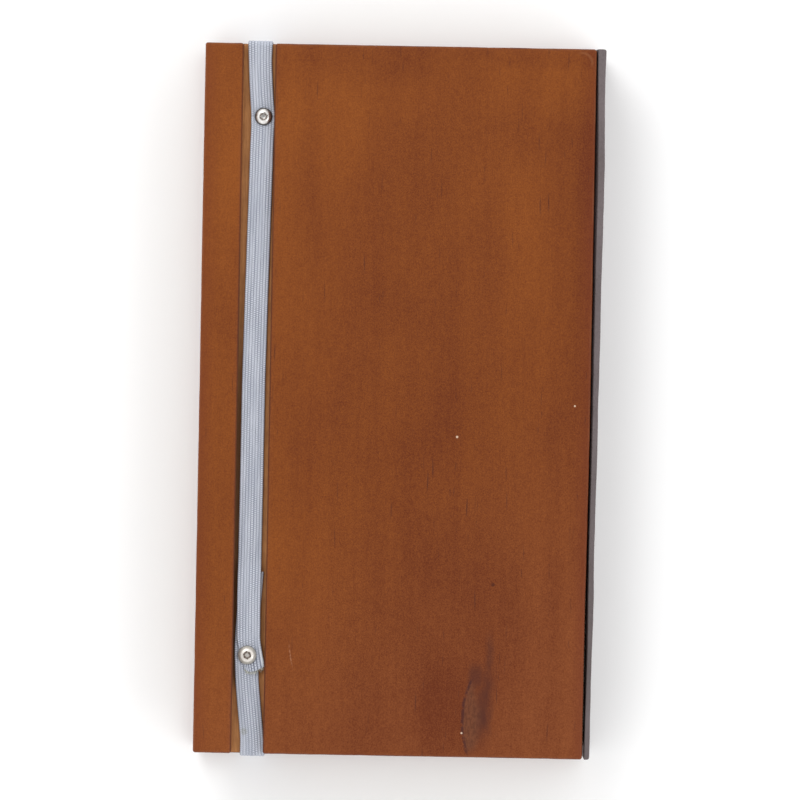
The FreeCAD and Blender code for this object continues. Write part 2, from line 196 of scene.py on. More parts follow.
def ripple(point, pitch, seed):
    """Smooth noise from -1 to 1 that changes over about pitch."""
    return noise.noise(Vector(point) / pitch + Vector((seed, seed * 1.7, seed * 0.3)))


def table_value(table, y, blur):
    """A length at y from a table of (y, length) in millimetres, smoothed over blur."""
    ordered = sorted(table)
    places = [place for place, _ in ordered]
    lengths = [length for _, length in ordered]
    near = [float(np.interp(y / MM + shift, places, lengths)) for shift in (-blur, 0.0, blur)]
    return (near[0] + 2 * near[1] + near[2]) / 4 * MM


def smooth_step(value, low, high):
    share = min(1.0, max(0.0, (value - low) / (high - low)))
    return share * share * (3 - 2 * share)


def tube(path, radius, sides=6, taper=0.0):
    """Points and faces of a round tube along a path. It narrows by the share taper."""
    rings = []
    for i, point in enumerate(path):
        ahead = path[min(i + 1, len(path) - 1)]
        behind = path[max(i - 1, 0)]
        along = (ahead - behind).normalized()
        side = along.orthogonal().normalized()
        if abs(along.z) > 0.5:
            side = along.cross(Vector((0, 1, 0))).normalized()
        up = along.cross(side)
        size = radius * (1 - taper * i / (len(path) - 1))
        angles = [math.tau * k / sides for k in range(sides)]
        rings.append([point + side * size * math.cos(a) + up * size * math.sin(a) for a in angles])
    return skin(rings)


# Shader fields --------------------------------------------------------------------------------


def connect(tree, slot, item):
    """Puts a field, another node's output or a plain value into a node's input."""
    if isinstance(item, Field):
        item = item.socket
    if isinstance(item, bpy.types.NodeSocket):
        tree.links.new(item, slot)
    else:
        slot.default_value = item


def add_node(tree, kind, inputs, **settings):
    """Adds a shader node and gives its outputs. inputs has its inputs by name or number."""
    node = tree.nodes.new(f"ShaderNode{kind}")
    for setting, value in settings.items():
        setattr(node, setting, value)
    for slot, item in inputs.items():
        connect(tree, node.inputs[slot], item)
    return node.outputs


class Field:
    """A number that varies over a surface, made by shader nodes. Arithmetic adds Math nodes."""

    def __init__(self, tree, socket):
        self.tree = tree
        self.socket = socket

    def math(self, operation, *others):
        inputs = dict(enumerate((self, *others)))
        return Field(self.tree, add_node(self.tree, "Math", inputs, operation=operation)[0])

    def __add__(self, other):
        return self.math("ADD", other)

    def __sub__(self, other):
        return self.math("SUBTRACT", other)

    def __mul__(self, other):
        return self.math("MULTIPLY", other)

    def __truediv__(self, other):
        return self.math("DIVIDE", other)

    def __pow__(self, other):
        return self.math("POWER", other)

    def absolute(self):
        return self.math("ABSOLUTE")

    def sine(self):
        return self.math("SINE")

    def fraction(self):
        return self.math("FRACT")

    def highest(self, other):
        return self.math("MAXIMUM", other)

    def lowest(self, other):
        return self.math("MINIMUM", other)

    def ramp(self, low, high):
        """0 where the field is below low, 1 above high, smooth between. low may be above high."""
        ends = (high, low, 1.0, 0.0) if low > high else (low, high, 0.0, 1.0)
        inputs = dict(zip(("From Min", "From Max", "To Min", "To Max"), ends), Value=self)
        outputs = add_node(self.tree, "MapRange", inputs, interpolation_type="SMOOTHSTEP")
        return Field(self.tree, outputs["Result"])

    def bell(self, centre, reach):
        """1 at centre, falling smoothly to 0 at reach to each side."""
        return (self - centre).absolute().ramp(reach, 0.0)


class Paint:
    """One procedural material."""

    def __init__(self, name, roughness=0.5, metallic=0.0, specular=0.5):
        self.material = bpy.data.materials.new(name)
        self.material.use_nodes = True
        self.tree = self.material.node_tree
        self.shader = self.tree.nodes["Principled BSDF"]
        self.shader.inputs["Roughness"].default_value = roughness
        self.shader.inputs["Metallic"].default_value = metallic
        self.shader.inputs["Specular IOR Level"].default_value = specular

    def position(self):
        """x, y and z of the part, in millimetres."""
        place = add_node(self.tree, "TexCoord", {})["Object"]
        parts = add_node(self.tree, "SeparateXYZ", {0: place})
        return [Field(self.tree, part) * (1 / MM) for part in parts]

    def strip(self):
        """Ribs across and millimetres along a strip, from its own map."""
        place = add_node(self.tree, "UVMap", {}, uv_map="strip")["UV"]
        parts = add_node(self.tree, "SeparateXYZ", {0: place})
        return Field(self.tree, parts[0]), Field(self.tree, parts[1])

    def _vector(self, x, y, z):
        return add_node(self.tree, "CombineXYZ", {0: x, 1: y, 2: z})[0]

    def noise(self, x, y, z=0.0, detail=2.0, roughness=0.5):
        """Noise from 0 to 1 with one unit to a feature."""
        inputs = {"Scale": 1.0, "Detail": detail, "Roughness": roughness}
        inputs["Vector"] = self._vector(x, y, z)
        return Field(self.tree, add_node(self.tree, "TexNoise", inputs)["Fac"])

    def cells(self, x, y, z=0.0):
        """Distance to the nearest of scattered points, and a random number for that point."""
        inputs = {"Scale": 1.0, "Vector": self._vector(x, y, z)}
        found = add_node(self.tree, "TexVoronoi", inputs)
        parts = add_node(self.tree, "SeparateColor", {0: found["Color"]})
        return Field(self.tree, found["Distance"]), Field(self.tree, parts[0])

    def mix(self, amount, low, high):
        """A colour between low and high, which are colours or earlier mixes."""
        low, high = ((*item, 1.0) if isinstance(item, tuple) else item for item in (low, high))
        return add_node(self.tree, "Mix", {0: amount, 6: low, 7: high}, data_type="RGBA")[2]

    def colour(self, socket):
        connect(self.tree, self.shader.inputs["Base Color"], socket)

    def roughness(self, field):
        connect(self.tree, self.shader.inputs["Roughness"], field)

    def relief(self, height, depth):
        """Bump from a field of heights, where 1 stands for depth."""
        inputs = {"Strength": 1.0, "Distance": depth, "Height": height}
        normal = add_node(self.tree, "Bump", inputs)["Normal"]
        connect(self.tree, self.shader.inputs["Normal"], normal)


# Materials ------------------------------------------------------------------------------------

PINE_DARK = (0.112, 0.0235, 0.0072)
PINE_LIGHT = (0.245, 0.0690, 0.0118)
PINE_BARE = (0.470, 0.2150, 0.0800)
PINE_PORE = (0.060, 0.0150, 0.0090)
PINE_EDGE = (0.130, 0.0270, 0.0130)
# Pale worn wood, for the worn edges, and also the colour of the painted highlight round the back
# board's head corner
PINE_WEAR_AND_HIGHLIGHT = (0.330, 0.1500, 0.0700)
PINE_COOL = (0.250, 0.0745, 0.0225)
SPECK = (0.600, 0.4500, 0.3300)
SCRATCH = (0.42, 0.21, 0.12)
GROOVE_DARK = (0.245, 0.1020, 0.0390)
GROOVE_ARRIS = (0.045, 0.0130, 0.0100)
# Painted shade for the narrow gap between the elastic and the groove's left wall
GAP_SHADE = (0.045, 0.0200, 0.0110)
END_EARLY = (0.165, 0.0420, 0.0120)
END_LATE = (0.070, 0.0160, 0.0080)
KNOT_SHADE = (0.072, 0.0215, 0.0140)
KNOT_HEART = (0.088, 0.0320, 0.0175)
KNOT_HEART_PALE = (0.148, 0.0540, 0.0265)
KNOT_RIM = (0.042, 0.0140, 0.0150)

# Marks on the back board, in millimetres: its knot, pale specks as (place, reach), a pinhole,
# a scratch, and the middle of the painted highlight round its head corner
KNOT_X, KNOT_Y = 24.1, -96.2
KNOT_HALF_WIDTH, KNOT_HALF_HEIGHT = 2.7, 12.5
PALE_SPECKS = (((18.3, -10.7), 0.5), ((54.2, -0.6), 0.4), ((21.3, -101.4), 0.42))
PINHOLE = (30.1, -55.8)
SCRATCH_X, SCRATCH_Y = -31.6, -78.5
CORNER_X, CORNER_Y = 54.6, 104.6

# The middle of the growth rings seen on the boards' ends, in millimetres
RINGS_X, RINGS_Z = 18.0, -24.0

# How far from the groove's middle its bare wood ends and its edge is darkest, in millimetres
BARE_REACH = 5.15
ARRIS_REACH = 5.05

# Where the stain took lighter or darker on the back board: (x, y, reach across, reach along,
# strength), in millimetres. Below zero is darker.
STAIN_CLOUDS = (
    (-23, 94, 20, 22, 0.20),
    (43, 102, 17, 14, 0.25),
    (37, 35, 17, 34, 0.12),
    (-22, -74, 18, 38, -0.12),
    (48, -80, 15, 36, -0.05),
    (-55, 85, 9, 40, 0.30),
    (-52, -90, 9, 30, 0.30),
    (53, 60, 10, 30, -0.30),
    (8, 14, 26, 42, -0.20),
    (20, -70, 17, 34, -0.32),
    (-35, 105, 11, 10, -0.12),
    (-37, -30, 4, 120, 0.22),
    (-9, 108, 20, 10, -0.30),
    (-33, -21, 11, 24, -0.15),
    (-56, 22, 9, 50, 0.20),
    (16, -97, 7, 18, -0.30),
    (59, 30, 6, 90, -0.25),
    (45, 107, 24, 4, -0.30),
)


def knot_fields(paint, x, y):
    """Core, rim and shade of the lens-shaped knot, each from 0 to 1."""
    wander = paint.noise(x * 0.35, y * 0.18, 3.0) - 0.5
    across = (x + wander * 1.4 - KNOT_X) / KNOT_HALF_WIDTH
    along = (y - KNOT_Y) / KNOT_HALF_HEIGHT
    lean = along * -0.22
    bow = along * along * -1.0 + 1.0
    left = across + lean + bow
    right = bow - across + lean
    core = left.ramp(-0.1, 0.2) * right.ramp(-0.5, 0.7) * along.absolute().ramp(1.05, 0.7)
    broken = paint.noise(x * 0.8, y * 0.55, 6.0, detail=2.0).ramp(0.30, 0.55)
    rim = left.absolute().ramp(0.26, 0.05) * along.absolute().ramp(1.02, 0.8) * broken
    cloud = paint.noise(x * 0.3, y * 0.12, 9.0, detail=3.0).ramp(0.25, 0.65)
    shade_across = (x + wander * 3.0 + along * -1.2 - (KNOT_X + 3.4)).absolute().ramp(4.2, 0.4)
    shade = shade_across * (y - (KNOT_Y + 3.0)).absolute().ramp(17.0, 4.0) * (cloud * 0.5 + 0.5)
    crown_x = (x + wander * 2.0 - (KNOT_X + 1.2)).absolute().ramp(3.4, 0.5)
    crown = crown_x * (y - (KNOT_Y + 12.0)).absolute().ramp(6.0, 1.0)
    tail = (x + wander * 2.0 - (KNOT_X + 5.4)).absolute().ramp(2.0, 0.0)
    streak = tail * (y - (KNOT_Y + 18.0)).absolute().ramp(10.0, 2.0)
    return core, rim, shade.highest(streak * 0.6).highest(crown * 0.75)


def mark(x, y, centre, reach):
    """A small soft spot, 1 at its centre."""
    distance = ((x - centre[0]) ** 2.0 + (y - centre[1]) ** 2.0) ** 0.5
    return distance.ramp(reach, reach * 0.35)


def pores(paint, bent, y, seed):
    """Short dark dashes along the grain, of two sizes, in some bands of the wood only."""
    lined = paint.noise(bent * 0.26, y * 0.006, seed, detail=1.0).ramp(0.46, 0.58)
    pore = None
    for width, length, share in ((0.85, 0.055, 0.45), (1.05, 0.12, 0.55)):
        distance, chance = paint.cells(bent * width + share * 40, y * length, seed)
        dash = distance.ramp(0.23, 0.06) * chance.ramp(share, share + 0.3)
        pore = dash if pore is None else pore.highest(dash * 0.7)
    return pore * lined


def bare_wood(paint, x, y, fibre, mottle, seed, gap_shaded):
    """The groove's unstained, sawn wood. The last argument adds painted shade beside the elastic,
    in the narrow gap by the groove's left wall.
    """
    saw = paint.noise(x * 3.2, y * 0.05, seed, detail=2.0, roughness=0.6)
    tone = fibre * 0.5 + saw * 0.7 + mottle * 0.4 - 0.3
    bare = paint.mix(tone.ramp(0.1, 0.9), GROOVE_DARK, PINE_BARE)
    if gap_shaded:
        # Painted shade on the groove's floor in the narrow gap between the elastic and the left
        # wall
        gap_shade = (x - GROOVE_X / MM).ramp(-3.3, -4.1) * y.ramp(48.0, -10.0) * y.ramp(-92.0, -84.0)
        bare = paint.mix(gap_shade * 0.75, bare, GAP_SHADE)
    return bare


def end_grain(paint, x, z, speck, seed):
    """Growth rings, as the sawn ends show them."""
    across = (x - RINGS_X) * 0.55
    years = (across * across + (z - RINGS_Z) * (z - RINGS_Z)) ** 0.5
    years = years + (paint.noise(x * 0.10, z * 0.10, seed, detail=2.0) - 0.5) * 3.0
    late = (years * 0.62).fraction()
    late = late.ramp(0.35, 0.92) * late.ramp(1.0, 0.94)
    tone = (late * 0.75 + speck * 0.55 - 0.1).highest(0.0).lowest(1.0)
    return paint.mix(tone, END_EARLY, END_LATE)


def back_marks(paint, x, y, on_face, colour, relief):
    """Colour and relief of the back board with its knot, painted highlight round its head corner,
    specks and scratch.
    """
    core, rim, shade = knot_fields(paint, x, y)
    flecks = paint.noise(x * 1.3, y * 0.6, 5.0, detail=3.0, roughness=0.65).ramp(0.35, 0.65)
    colour = paint.mix(shade * on_face * 0.88, colour, KNOT_SHADE)
    heart = paint.mix(flecks, KNOT_HEART, KNOT_HEART_PALE)
    colour = paint.mix(core * on_face * 0.72, colour, heart)
    colour = paint.mix(rim * on_face * 0.70, colour, KNOT_RIM)
    # A painted highlight round the rounded head corner, in the colour of worn wood
    corner = ((x - CORNER_X) ** 2.0 + (y - CORNER_Y) ** 2.0) ** 0.5
    corner_highlight = (corner - 3.0).absolute().ramp(0.6, 0.1) * (x + y).ramp(160.0, 163.0)
    colour = paint.mix(corner_highlight * on_face * 0.2, colour, PINE_WEAR_AND_HIGHLIGHT)
    for centre, reach in PALE_SPECKS:
        colour = paint.mix(mark(x, y, centre, reach) * on_face, colour, SPECK)
    colour = paint.mix(mark(x, y, PINHOLE, 0.8) * 0.8, colour, PINE_PORE)
    above = y - SCRATCH_Y
    curve = (above ** 2.0) * 0.012 + above * -0.16 + SCRATCH_X
    scratch = (x - curve).absolute().ramp(0.32, 0.05) * above.bell(0.0, 5.0)
    scratch = scratch * paint.noise(x, y * 1.3, 2.0).ramp(0.35, 0.6)
    colour = paint.mix(scratch * 0.45, colour, SCRATCH)
    return colour, relief - rim * 1.0 - core * flecks * 0.5 - scratch * 0.5


def pine(name, board, seed, knotted):
    """Stained pine with its grain along Y, bare wood in the groove and wear along the edges.
    board is the board's box. knotted is for the back board, with its clouds and marks."""
    paint = Paint(name, roughness=0.5, specular=0.12)
    x, y, z = paint.position()
    low, high = board[0] / MM, board[1] / MM
    bent = x + (paint.noise(x * 0.03, y * 0.012, seed) - 0.5) * 9.0
    if knotted:
        push = (x - KNOT_X).bell(0.0, 11.0) * (y - KNOT_Y).bell(0.0, 24.0)
        bent = bent - (x - KNOT_X - 1.0) * push * 0.5
    broad = paint.noise(bent * 0.11, y * 0.004, z * 0.1 + seed, detail=1.0)
    ring = paint.noise(bent * 0.55, y * 0.010, z * 0.4 + seed * 2, detail=2.0)
    fibre = paint.noise(bent * 2.6, y * 0.16, z * 2.0 + seed, detail=2.0, roughness=0.6)
    blotch = paint.noise(x * 0.045, y * 0.026, z * 0.05 + seed * 3, detail=3.0)
    speck = paint.noise(x * 2.7, y * 2.2, z * 2.4 + seed, detail=2.0, roughness=0.7)
    mottle = paint.noise(x * 0.5, y * 0.35, z * 0.5 + seed, detail=3.0, roughness=0.6)

    # The stain, its clouds, the darker long edges and the pores
    tone = broad * 0.34 + ring * 0.16 + fibre * 0.26 + blotch * 0.62 + mottle * 0.30 - 0.34
    if knotted:
        for cloud_x, cloud_y, reach_x, reach_y, strength in STAIN_CLOUDS:
            across = ((x - cloud_x) / reach_x) ** 2.0
            along = ((y - cloud_y) / reach_y) ** 2.0
            tone = tone + (across + along).ramp(2.2, 0.0) * strength * 0.62
    tone = tone + (speck - 0.5) * 1.45
    light = paint.mix((y * -1.0 + x * 0.6).ramp(10.0, 130.0), PINE_LIGHT, PINE_COOL)
    colour = paint.mix(tone.highest(0.0).lowest(1.0), PINE_DARK, light)
    near_edge = (x - low.x).lowest(x * -1.0 + high.x)
    stain = near_edge.ramp(6.0, 0.0) * (blotch.ramp(0.2, 0.7) * 0.35 + 0.10)
    colour = paint.mix(stain, colour, PINE_EDGE)
    pore = pores(paint, bent, y, seed)
    colour = paint.mix(pore * 0.62, colour, PINE_PORE)
    relief = fibre * 0.4 + ring * 0.2 + speck * 0.5 - pore * 0.8

    # The groove
    from_groove = (x - GROOVE_X / MM).absolute()
    floor, reach = (GROOVE_FLOOR_Z / MM, 1.3) if knotted else (FRONT_GROOVE_DEPTH / MM, 0.8)
    in_groove = from_groove.ramp(BARE_REACH, 5.0) * (z - floor).absolute().ramp(reach, 0.2)
    arris = (from_groove - ARRIS_REACH).absolute().ramp(0.42, 0.05)
    colour = paint.mix(arris * 0.6, colour, GROOVE_ARRIS)
    bare = bare_wood(paint, x, y, fibre, mottle, seed, knotted)
    colour = paint.mix(in_groove, colour, bare)

    # Wear along the edges, and the ends
    from_end = y.absolute() * -1.0 + high.y
    depth = (z - low.z).lowest(z * -1.0 + high.z)
    corners = near_edge.ramp(0.8, 0.0) * depth.ramp(0.9, 0.2)
    patchy = paint.noise(x * 0.07, y * 0.07, z * 0.1 + seed, detail=4.0).ramp(0.35, 0.75)
    worn = (from_end.ramp(0.9, 0.0) * depth.ramp(0.9, 0.3)).highest(corners) * patchy
    colour = paint.mix(worn * 0.34, colour, PINE_WEAR_AND_HIGHLIGHT)
    colour = paint.mix(from_end.ramp(0.45, 0.15) * 0.8, colour, end_grain(paint, x, z, speck, seed))
    if knotted:
        on_face = (z * -1.0 + high.z).ramp(2.0, 1.0)
        colour, relief = back_marks(paint, x, y, on_face, colour, relief)
    paint.colour(colour)
    paint.roughness(mottle * 0.16 + in_groove * 0.2 + 0.40)
    paint.relief(relief, 0.06 * MM)
    return paint.material


def leather(name):
    """Grey-brown leather, pebbled and a little fibrous, and darker towards the tail."""
    paint = Paint(name, roughness=0.6, specular=0.2)
    x, y, z = paint.position()
    cell, chance = paint.cells(x * 1.3, y * 1.1, z * 1.3)
    fine = paint.noise(x * 3.0, y * 1.2, z * 3.0, detail=3.0, roughness=0.6)
    cloud = paint.noise(x * 0.1, y * 0.045, z * 0.1, detail=2.0)
    tone = cloud * 0.7 + fine * 0.35 + cell * 0.15
    colour = paint.mix(tone.ramp(0.25, 0.95), (0.098, 0.0790, 0.0790), (0.160, 0.1330, 0.1370))
    colour = paint.mix(fine.ramp(0.68, 0.85) * 0.35, colour, (0.26, 0.22, 0.22))
    colour = paint.mix(y.ramp(30.0, -70.0) * 0.3, colour, (0.075, 0.0600, 0.0580))
    paint.colour(colour)
    paint.relief(cell.ramp(0.0, 0.45) * 0.7 + fine * 0.5 + chance * 0.1, 0.12 * MM)
    return paint.material


def braid(name):
    """Knitted elastic: pale ribs of small stitches with dark dotted lines between them, and painted
    shade and a painted highlight on the folds of its bunched end.
    """
    paint = Paint(name, roughness=0.75, specular=0.25)
    across, along = paint.strip()
    x, y, z = paint.position()
    rib = ((across.fraction() - 0.5) * 2.0).absolute()
    valley = rib.ramp(0.40, 0.95)
    crown = rib.ramp(0.75, 0.1)
    other = (across * 0.5).fraction().ramp(0.49, 0.51)
    phase = along / STITCH_PITCH + rib * 0.30 + other * 0.5
    stitch = (phase * math.tau).sine() * 0.5 + 0.5
    patch = paint.noise(across * 0.45, along * 0.06, 1.0, detail=2.0).ramp(0.35, 0.65)
    fuzz = paint.noise(x * 5.0, y * 5.0, z * 5.0, detail=3.0, roughness=0.7)
    shine = paint.noise(across * 0.9 + 7.0, along * 0.05, 4.0)
    pale = paint.mix(shine.ramp(0.3, 0.7), (0.390, 0.415, 0.482), (0.530, 0.553, 0.618))
    pale = paint.mix(fuzz.ramp(0.55, 0.8) * 0.25, pale, (0.66, 0.68, 0.74))
    pale = paint.mix(y.ramp(-10.0, -60.0) * 0.14, pale, (0.200, 0.215, 0.260))
    dark = paint.mix(stitch.ramp(0.25, 0.80), (0.105, 0.118, 0.160), (0.350, 0.372, 0.435))
    # Painted shade deepens the valleys between the ribs on the folds of the bunched end
    bunched_light_and_shade = mark(x, y, BUNCH_PLACE, 5.4) * (along - BUNCH_ALONG).absolute().ramp(13.0, 9.0)
    dark = paint.mix(bunched_light_and_shade * 0.6, dark, (0.085, 0.095, 0.130))
    colour = paint.mix(valley * (patch * 0.35 + bunched_light_and_shade * 0.4 + 0.52), pale, dark)
    hollow = stitch.ramp(0.55, 0.05) * crown * (patch * 0.74 + 0.16)
    colour = paint.mix(hollow, colour, (0.230, 0.248, 0.310))
    knuckle = stitch.ramp(0.6, 1.0) * crown * (patch * 0.72 + 0.16)
    colour = paint.mix(knuckle, colour, (0.68, 0.70, 0.76))
    # fold is a painted highlight along one edge of the bunched folds
    fold = across.ramp(0.9, 0.4) * bunched_light_and_shade * fuzz.ramp(0.25, 0.5)
    colour = paint.mix(fold * 0.7, colour, (0.72, 0.73, 0.73))
    spot_x, spot_y = GROOVE_X / MM - 1.1, -102.2
    stain = mark(x + paint.noise(x, y, 8.0) * 1.4 - 0.7, y, (spot_x, spot_y), 1.5)
    stain = stain * (z - GROOVE_FLOOR_Z / MM).ramp(-0.2, 0.1)
    colour = paint.mix(stain * fuzz.ramp(0.4, 0.6) * 0.65, colour, (0.20, 0.20, 0.12))
    paint.colour(colour)
    paint.relief(stitch * 0.6 - valley * 0.3 + fuzz * 0.25, 0.10 * MM)
    return paint.material


def steel(name, centre, top, rim_colour, dome_colour, rim_start, polish):
    """Screw steel with a duller rim in rim_colour from rim_start mm outwards, which on the upper
    head is a painted dark reflection and shade, and a brownish socket, partly dirt and partly
    painted shade.
    centre and top are the head's. polish is the dome's roughness."""
    paint = Paint(name, roughness=polish, metallic=1.0)
    x, y, z = paint.position()
    dx, dy = x - centre.x / MM, y - centre.y / MM
    radius = (dx * dx + dy * dy) ** 0.5
    cloud = paint.noise(x * 0.9, y * 0.9, z * 0.9, detail=3.0)
    grit = paint.noise(x * 4.0, y * 4.0, z * 4.0, detail=2.0)
    dull = tuple(value * 0.72 for value in dome_colour)
    colour = paint.mix((cloud * 0.6 + grit * 0.4).ramp(0.3, 0.6), dull, dome_colour)
    # The deep socket is darkened: partly brownish dirt in patches, partly painted shade in the
    # recess
    deep = (z * -1.0 + top / MM).ramp(0.35, 0.6)
    wall = deep * radius.ramp(0.3, 0.85) * radius.ramp(1.45, 1.38)
    pitted = paint.noise(x * 2.2, y * 2.2, 3.0, detail=2.0).ramp(0.35, 0.58)
    colour = paint.mix(wall * (pitted * 0.50 + 0.40), colour, (0.100, 0.060, 0.040))
    # rim_colour on the rim: on the upper head, a painted dark reflection and shade
    rim = radius.ramp(rim_start, rim_start + 0.35)
    colour = paint.mix(rim, colour, rim_colour)
    paint.colour(colour)
    paint.roughness(cloud * 0.15 + rim * 0.20 + wall * 0.2 + polish - 0.07)
    paint.relief(cloud * 0.5 + grit * 0.5, 0.03 * MM)
    return paint.material


def brass(name):
    """Turned brass with fine rings."""
    paint = Paint(name, roughness=0.35, metallic=1.0)
    x, y, z = paint.position()
    rings = paint.noise(0.0, 0.0, z * 14.0, detail=2.0)
    cloud = paint.noise(x * 0.8, y * 0.8, z * 0.8, detail=2.0)
    paint.colour(paint.mix(cloud.ramp(0.3, 0.7), (0.50, 0.33, 0.11), (0.72, 0.52, 0.20)))
    paint.relief(rings, 0.05 * MM)
    return paint.material


def paper(name, pale, warm):
    """Uncoated paper with long fibres and a faint cloudy tone between two colours."""
    paint = Paint(name, roughness=0.85, specular=0.2)
    x, y, z = paint.position()
    fibres = paint.noise(x * 1.6, y * 4.5, z * 1.5, detail=4.0, roughness=0.7)
    cross = paint.noise(x * 4.5, y * 1.4, z * 1.5 + 9.0, detail=4.0, roughness=0.7)
    cloud = paint.noise(x * 0.06, y * 0.06, z * 0.5, detail=3.0)
    tone = fibres * 0.35 + cross * 0.35 + cloud * 0.3 + 0.1
    colour = paint.mix(tone.ramp(0.35, 0.85), warm, pale)
    fleck = paint.noise(x * 2.3, y * 0.9, z + 3.0, detail=2.0).ramp(0.74, 0.8)
    colour = paint.mix(fleck * 0.3, colour, (0.50, 0.42, 0.30))
    paint.colour(colour)
    paint.relief(fibres + cross, 0.025 * MM)
    return paint.material


def cloth(name, pale, dark, pitch):
    """Plain woven cloth on the YZ plane. pitch is the distance between threads in mm."""
    paint = Paint(name, roughness=0.9, specular=0.15)
    x, y, z = paint.position()
    wander = paint.noise(y * 0.5, z * 0.5, 2.0) * 0.8
    warp = ((y / pitch + wander) * math.tau).sine()
    weft = ((z / pitch + wander) * math.tau).sine()
    weave = warp * weft * 0.5 + 0.5
    fuzz = paint.noise(x * 6.0, y * 6.0, z * 6.0, detail=3.0)
    paint.colour(paint.mix((weave * 0.7 + fuzz * 0.4).ramp(0.1, 0.9), dark, pale))
    paint.relief(weave + fuzz * 0.4, 0.08 * MM)
    return paint.material


# Covers ---------------------------------------------------------------------------------------

PANEL_PIECES = 48
SIDE_PIECES = 6
WALL_PIECES = 4
LENGTH_STEP = 2.5 * MM
CORNER_STEPS = 5
GROOVE_LIP = 0.12 * MM
SPINE_EDGE_TAPER = 0.6 * MM


def divide(start, end, pieces):
    """Evenly spaced numbers from start to end, both included."""
    return [float(v) for v in np.linspace(start, end, pieces + 1)]


def board_outline(low, high, groove_depth, inset):
    """A board's section as (x, height above its inner face), with the groove in its outer face.
    inset shrinks it all round, for the eased ends."""
    thickness = high.z - low.z
    radius = max(BOARD_ROUND - inset, 0.03 * MM)
    left, right = low.x + BOARD_ROUND, high.x - BOARD_ROUND
    bottom, top = BOARD_ROUND, thickness - BOARD_ROUND
    groove_left = GROOVE_X - GROOVE_WIDTH / 2 - inset
    groove_right = GROOVE_X + GROOVE_WIDTH / 2 + inset
    face = thickness - inset
    floor = thickness - groove_depth - inset
    lip = face - GROOVE_LIP
    outline = arc((left, top), radius, 180, 90, CORNER_STEPS)
    outline += [(v, face) for v in divide(left, groove_left - GROOVE_LIP, SIDE_PIECES)[1:]]
    outline += [(groove_left, v) for v in divide(lip, floor, WALL_PIECES)]
    outline += [(v, floor) for v in divide(groove_left, groove_right, SIDE_PIECES)[1:-1]]
    outline += [(groove_right, v) for v in divide(floor, lip, WALL_PIECES)]
    outline += [(v, face) for v in divide(groove_right + GROOVE_LIP, right, PANEL_PIECES)[:-1]]
    outline += arc((right, top), radius, 90, 0, CORNER_STEPS)
    outline += arc((right, bottom), radius, 0, -90, CORNER_STEPS)
    outline += [(v, inset) for v in divide(right, left, PANEL_PIECES // 2)[1:-1]]
    outline += arc((left, bottom), radius, -90, -180, CORNER_STEPS)
    return outline


def board(name, low, high, groove_depth, is_back, material):
    """A pine board with eased edges, a groove and the slight unevenness of hand sanding. Only
    the back board has a knot."""
    inner_z, sense = (low.z, 1) if is_back else (high.z, -1)
    rings = []
    for y, pinch in eased_stations(low.y, high.y, BOARD_ROUND, LENGTH_STEP, 6):
        outline = board_outline(low, high, groove_depth, BOARD_ROUND * pinch)
        rings.append([Vector((x, y, inner_z + sense * height)) for x, height in outline])
    piece = make_piece(name, *skin(rings), material, sharp=50)
    mesh = piece.data
    for vertex, normal in zip(mesh.vertices, [n.vector.copy() for n in mesh.vertex_normals]):
        point = vertex.co
        sunk = 0.025 * (1 + ripple(point, 40 * MM, 3.0)) + 0.02 * (1 + ripple(point, 9 * MM, 5.0))
        edge = min(point.x - low.x, high.x - point.x)
        end = high.y - abs(point.y)
        if min(edge, end) < 1.2 * MM:
            sunk += 0.09 * max(0.0, ripple(point, 6 * MM, 9.0))
        if is_back:
            short = SPINE_EDGE_TAPER * smooth_step(-point.y, 0.0, 0.09)
            point.x -= short * smooth_step(point.x, 0.045, high.x)
            across = (point.x / MM - KNOT_X) / (1.6 * KNOT_HALF_WIDTH)
            along = (point.y / MM - KNOT_Y) / KNOT_HALF_HEIGHT
            sunk += 0.12 * math.exp(-across * across - along * along)
        vertex.co = point - normal * sunk * MM
    mesh.update()
    return piece


def covers():
    for side, box, groove_depth, seed, is_back in (
        ("back", (BACK_LOW, BACK_HIGH), BACK_HIGH.z - GROOVE_FLOOR_Z, 4.0, True),
        ("front", (FRONT_LOW, FRONT_HIGH), FRONT_GROOVE_DEPTH, 17.0, False),
    ):
        wood = pine(f"stained_pine_{side}", box, seed, is_back)
        piece = board(f"{side}_board", *box, groove_depth, is_back, wood)
        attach(piece, f"{side}_cover")
        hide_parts(f"{side}_cover_board")


# Spine strap ----------------------------------------------------------------------------------

STRAP_EDGE_ROUND = 0.3 * MM
STRAP_END_ROUND = 0.7 * MM
STRAP_CURL_REACH = 3.2 * MM

# How far the strap stands out at its back, and how far it curls off the cover's edge along its
# cut edges: (y, length) in millimetres
STRAP_BULGE = ((109, 1.0), (98, 0.75), (89, 0.75), (77, 1.0), (62, 1.05), (46, 0.75), (31, 0.6),
               (16, 0.62), (0, 0.35), (-15, 0.45), (-30, 0.15), (-46, -0.05), (-61, 0.15),
               (-76, -0.2), (-92, -0.32), (-109, -0.45))
STRAP_CURL = ((109, 0.4), (98, 0.6), (80, 0.95), (62, 1.05), (40, 0.8), (-10, 0.75), (-45, 0.35),
              (-75, 0.5), (-95, 0.15), (-109, 0.0))


def strap_section(x_in, x_out, z_low, z_high):
    """The strap's section: flat, with softened cut edges."""
    soft = STRAP_EDGE_ROUND
    outline = [(x_in, z) for z in span(z_high - soft, z_low + soft, 0.6 * MM)]
    outline += arc((x_in + soft, z_low + soft), soft, 180, 270, 3)[1:]
    outline += arc((x_out - soft, z_low + soft), soft, 270, 360, 3)
    outline += [(x_out, z) for z in span(z_low + soft, z_high - soft, 0.6 * MM)[1:-1]]
    outline += arc((x_out - soft, z_high - soft), soft, 0, 90, 3)
    outline += arc((x_in + soft, z_high - soft), soft, 90, 180, 3)[:-1]
    return outline


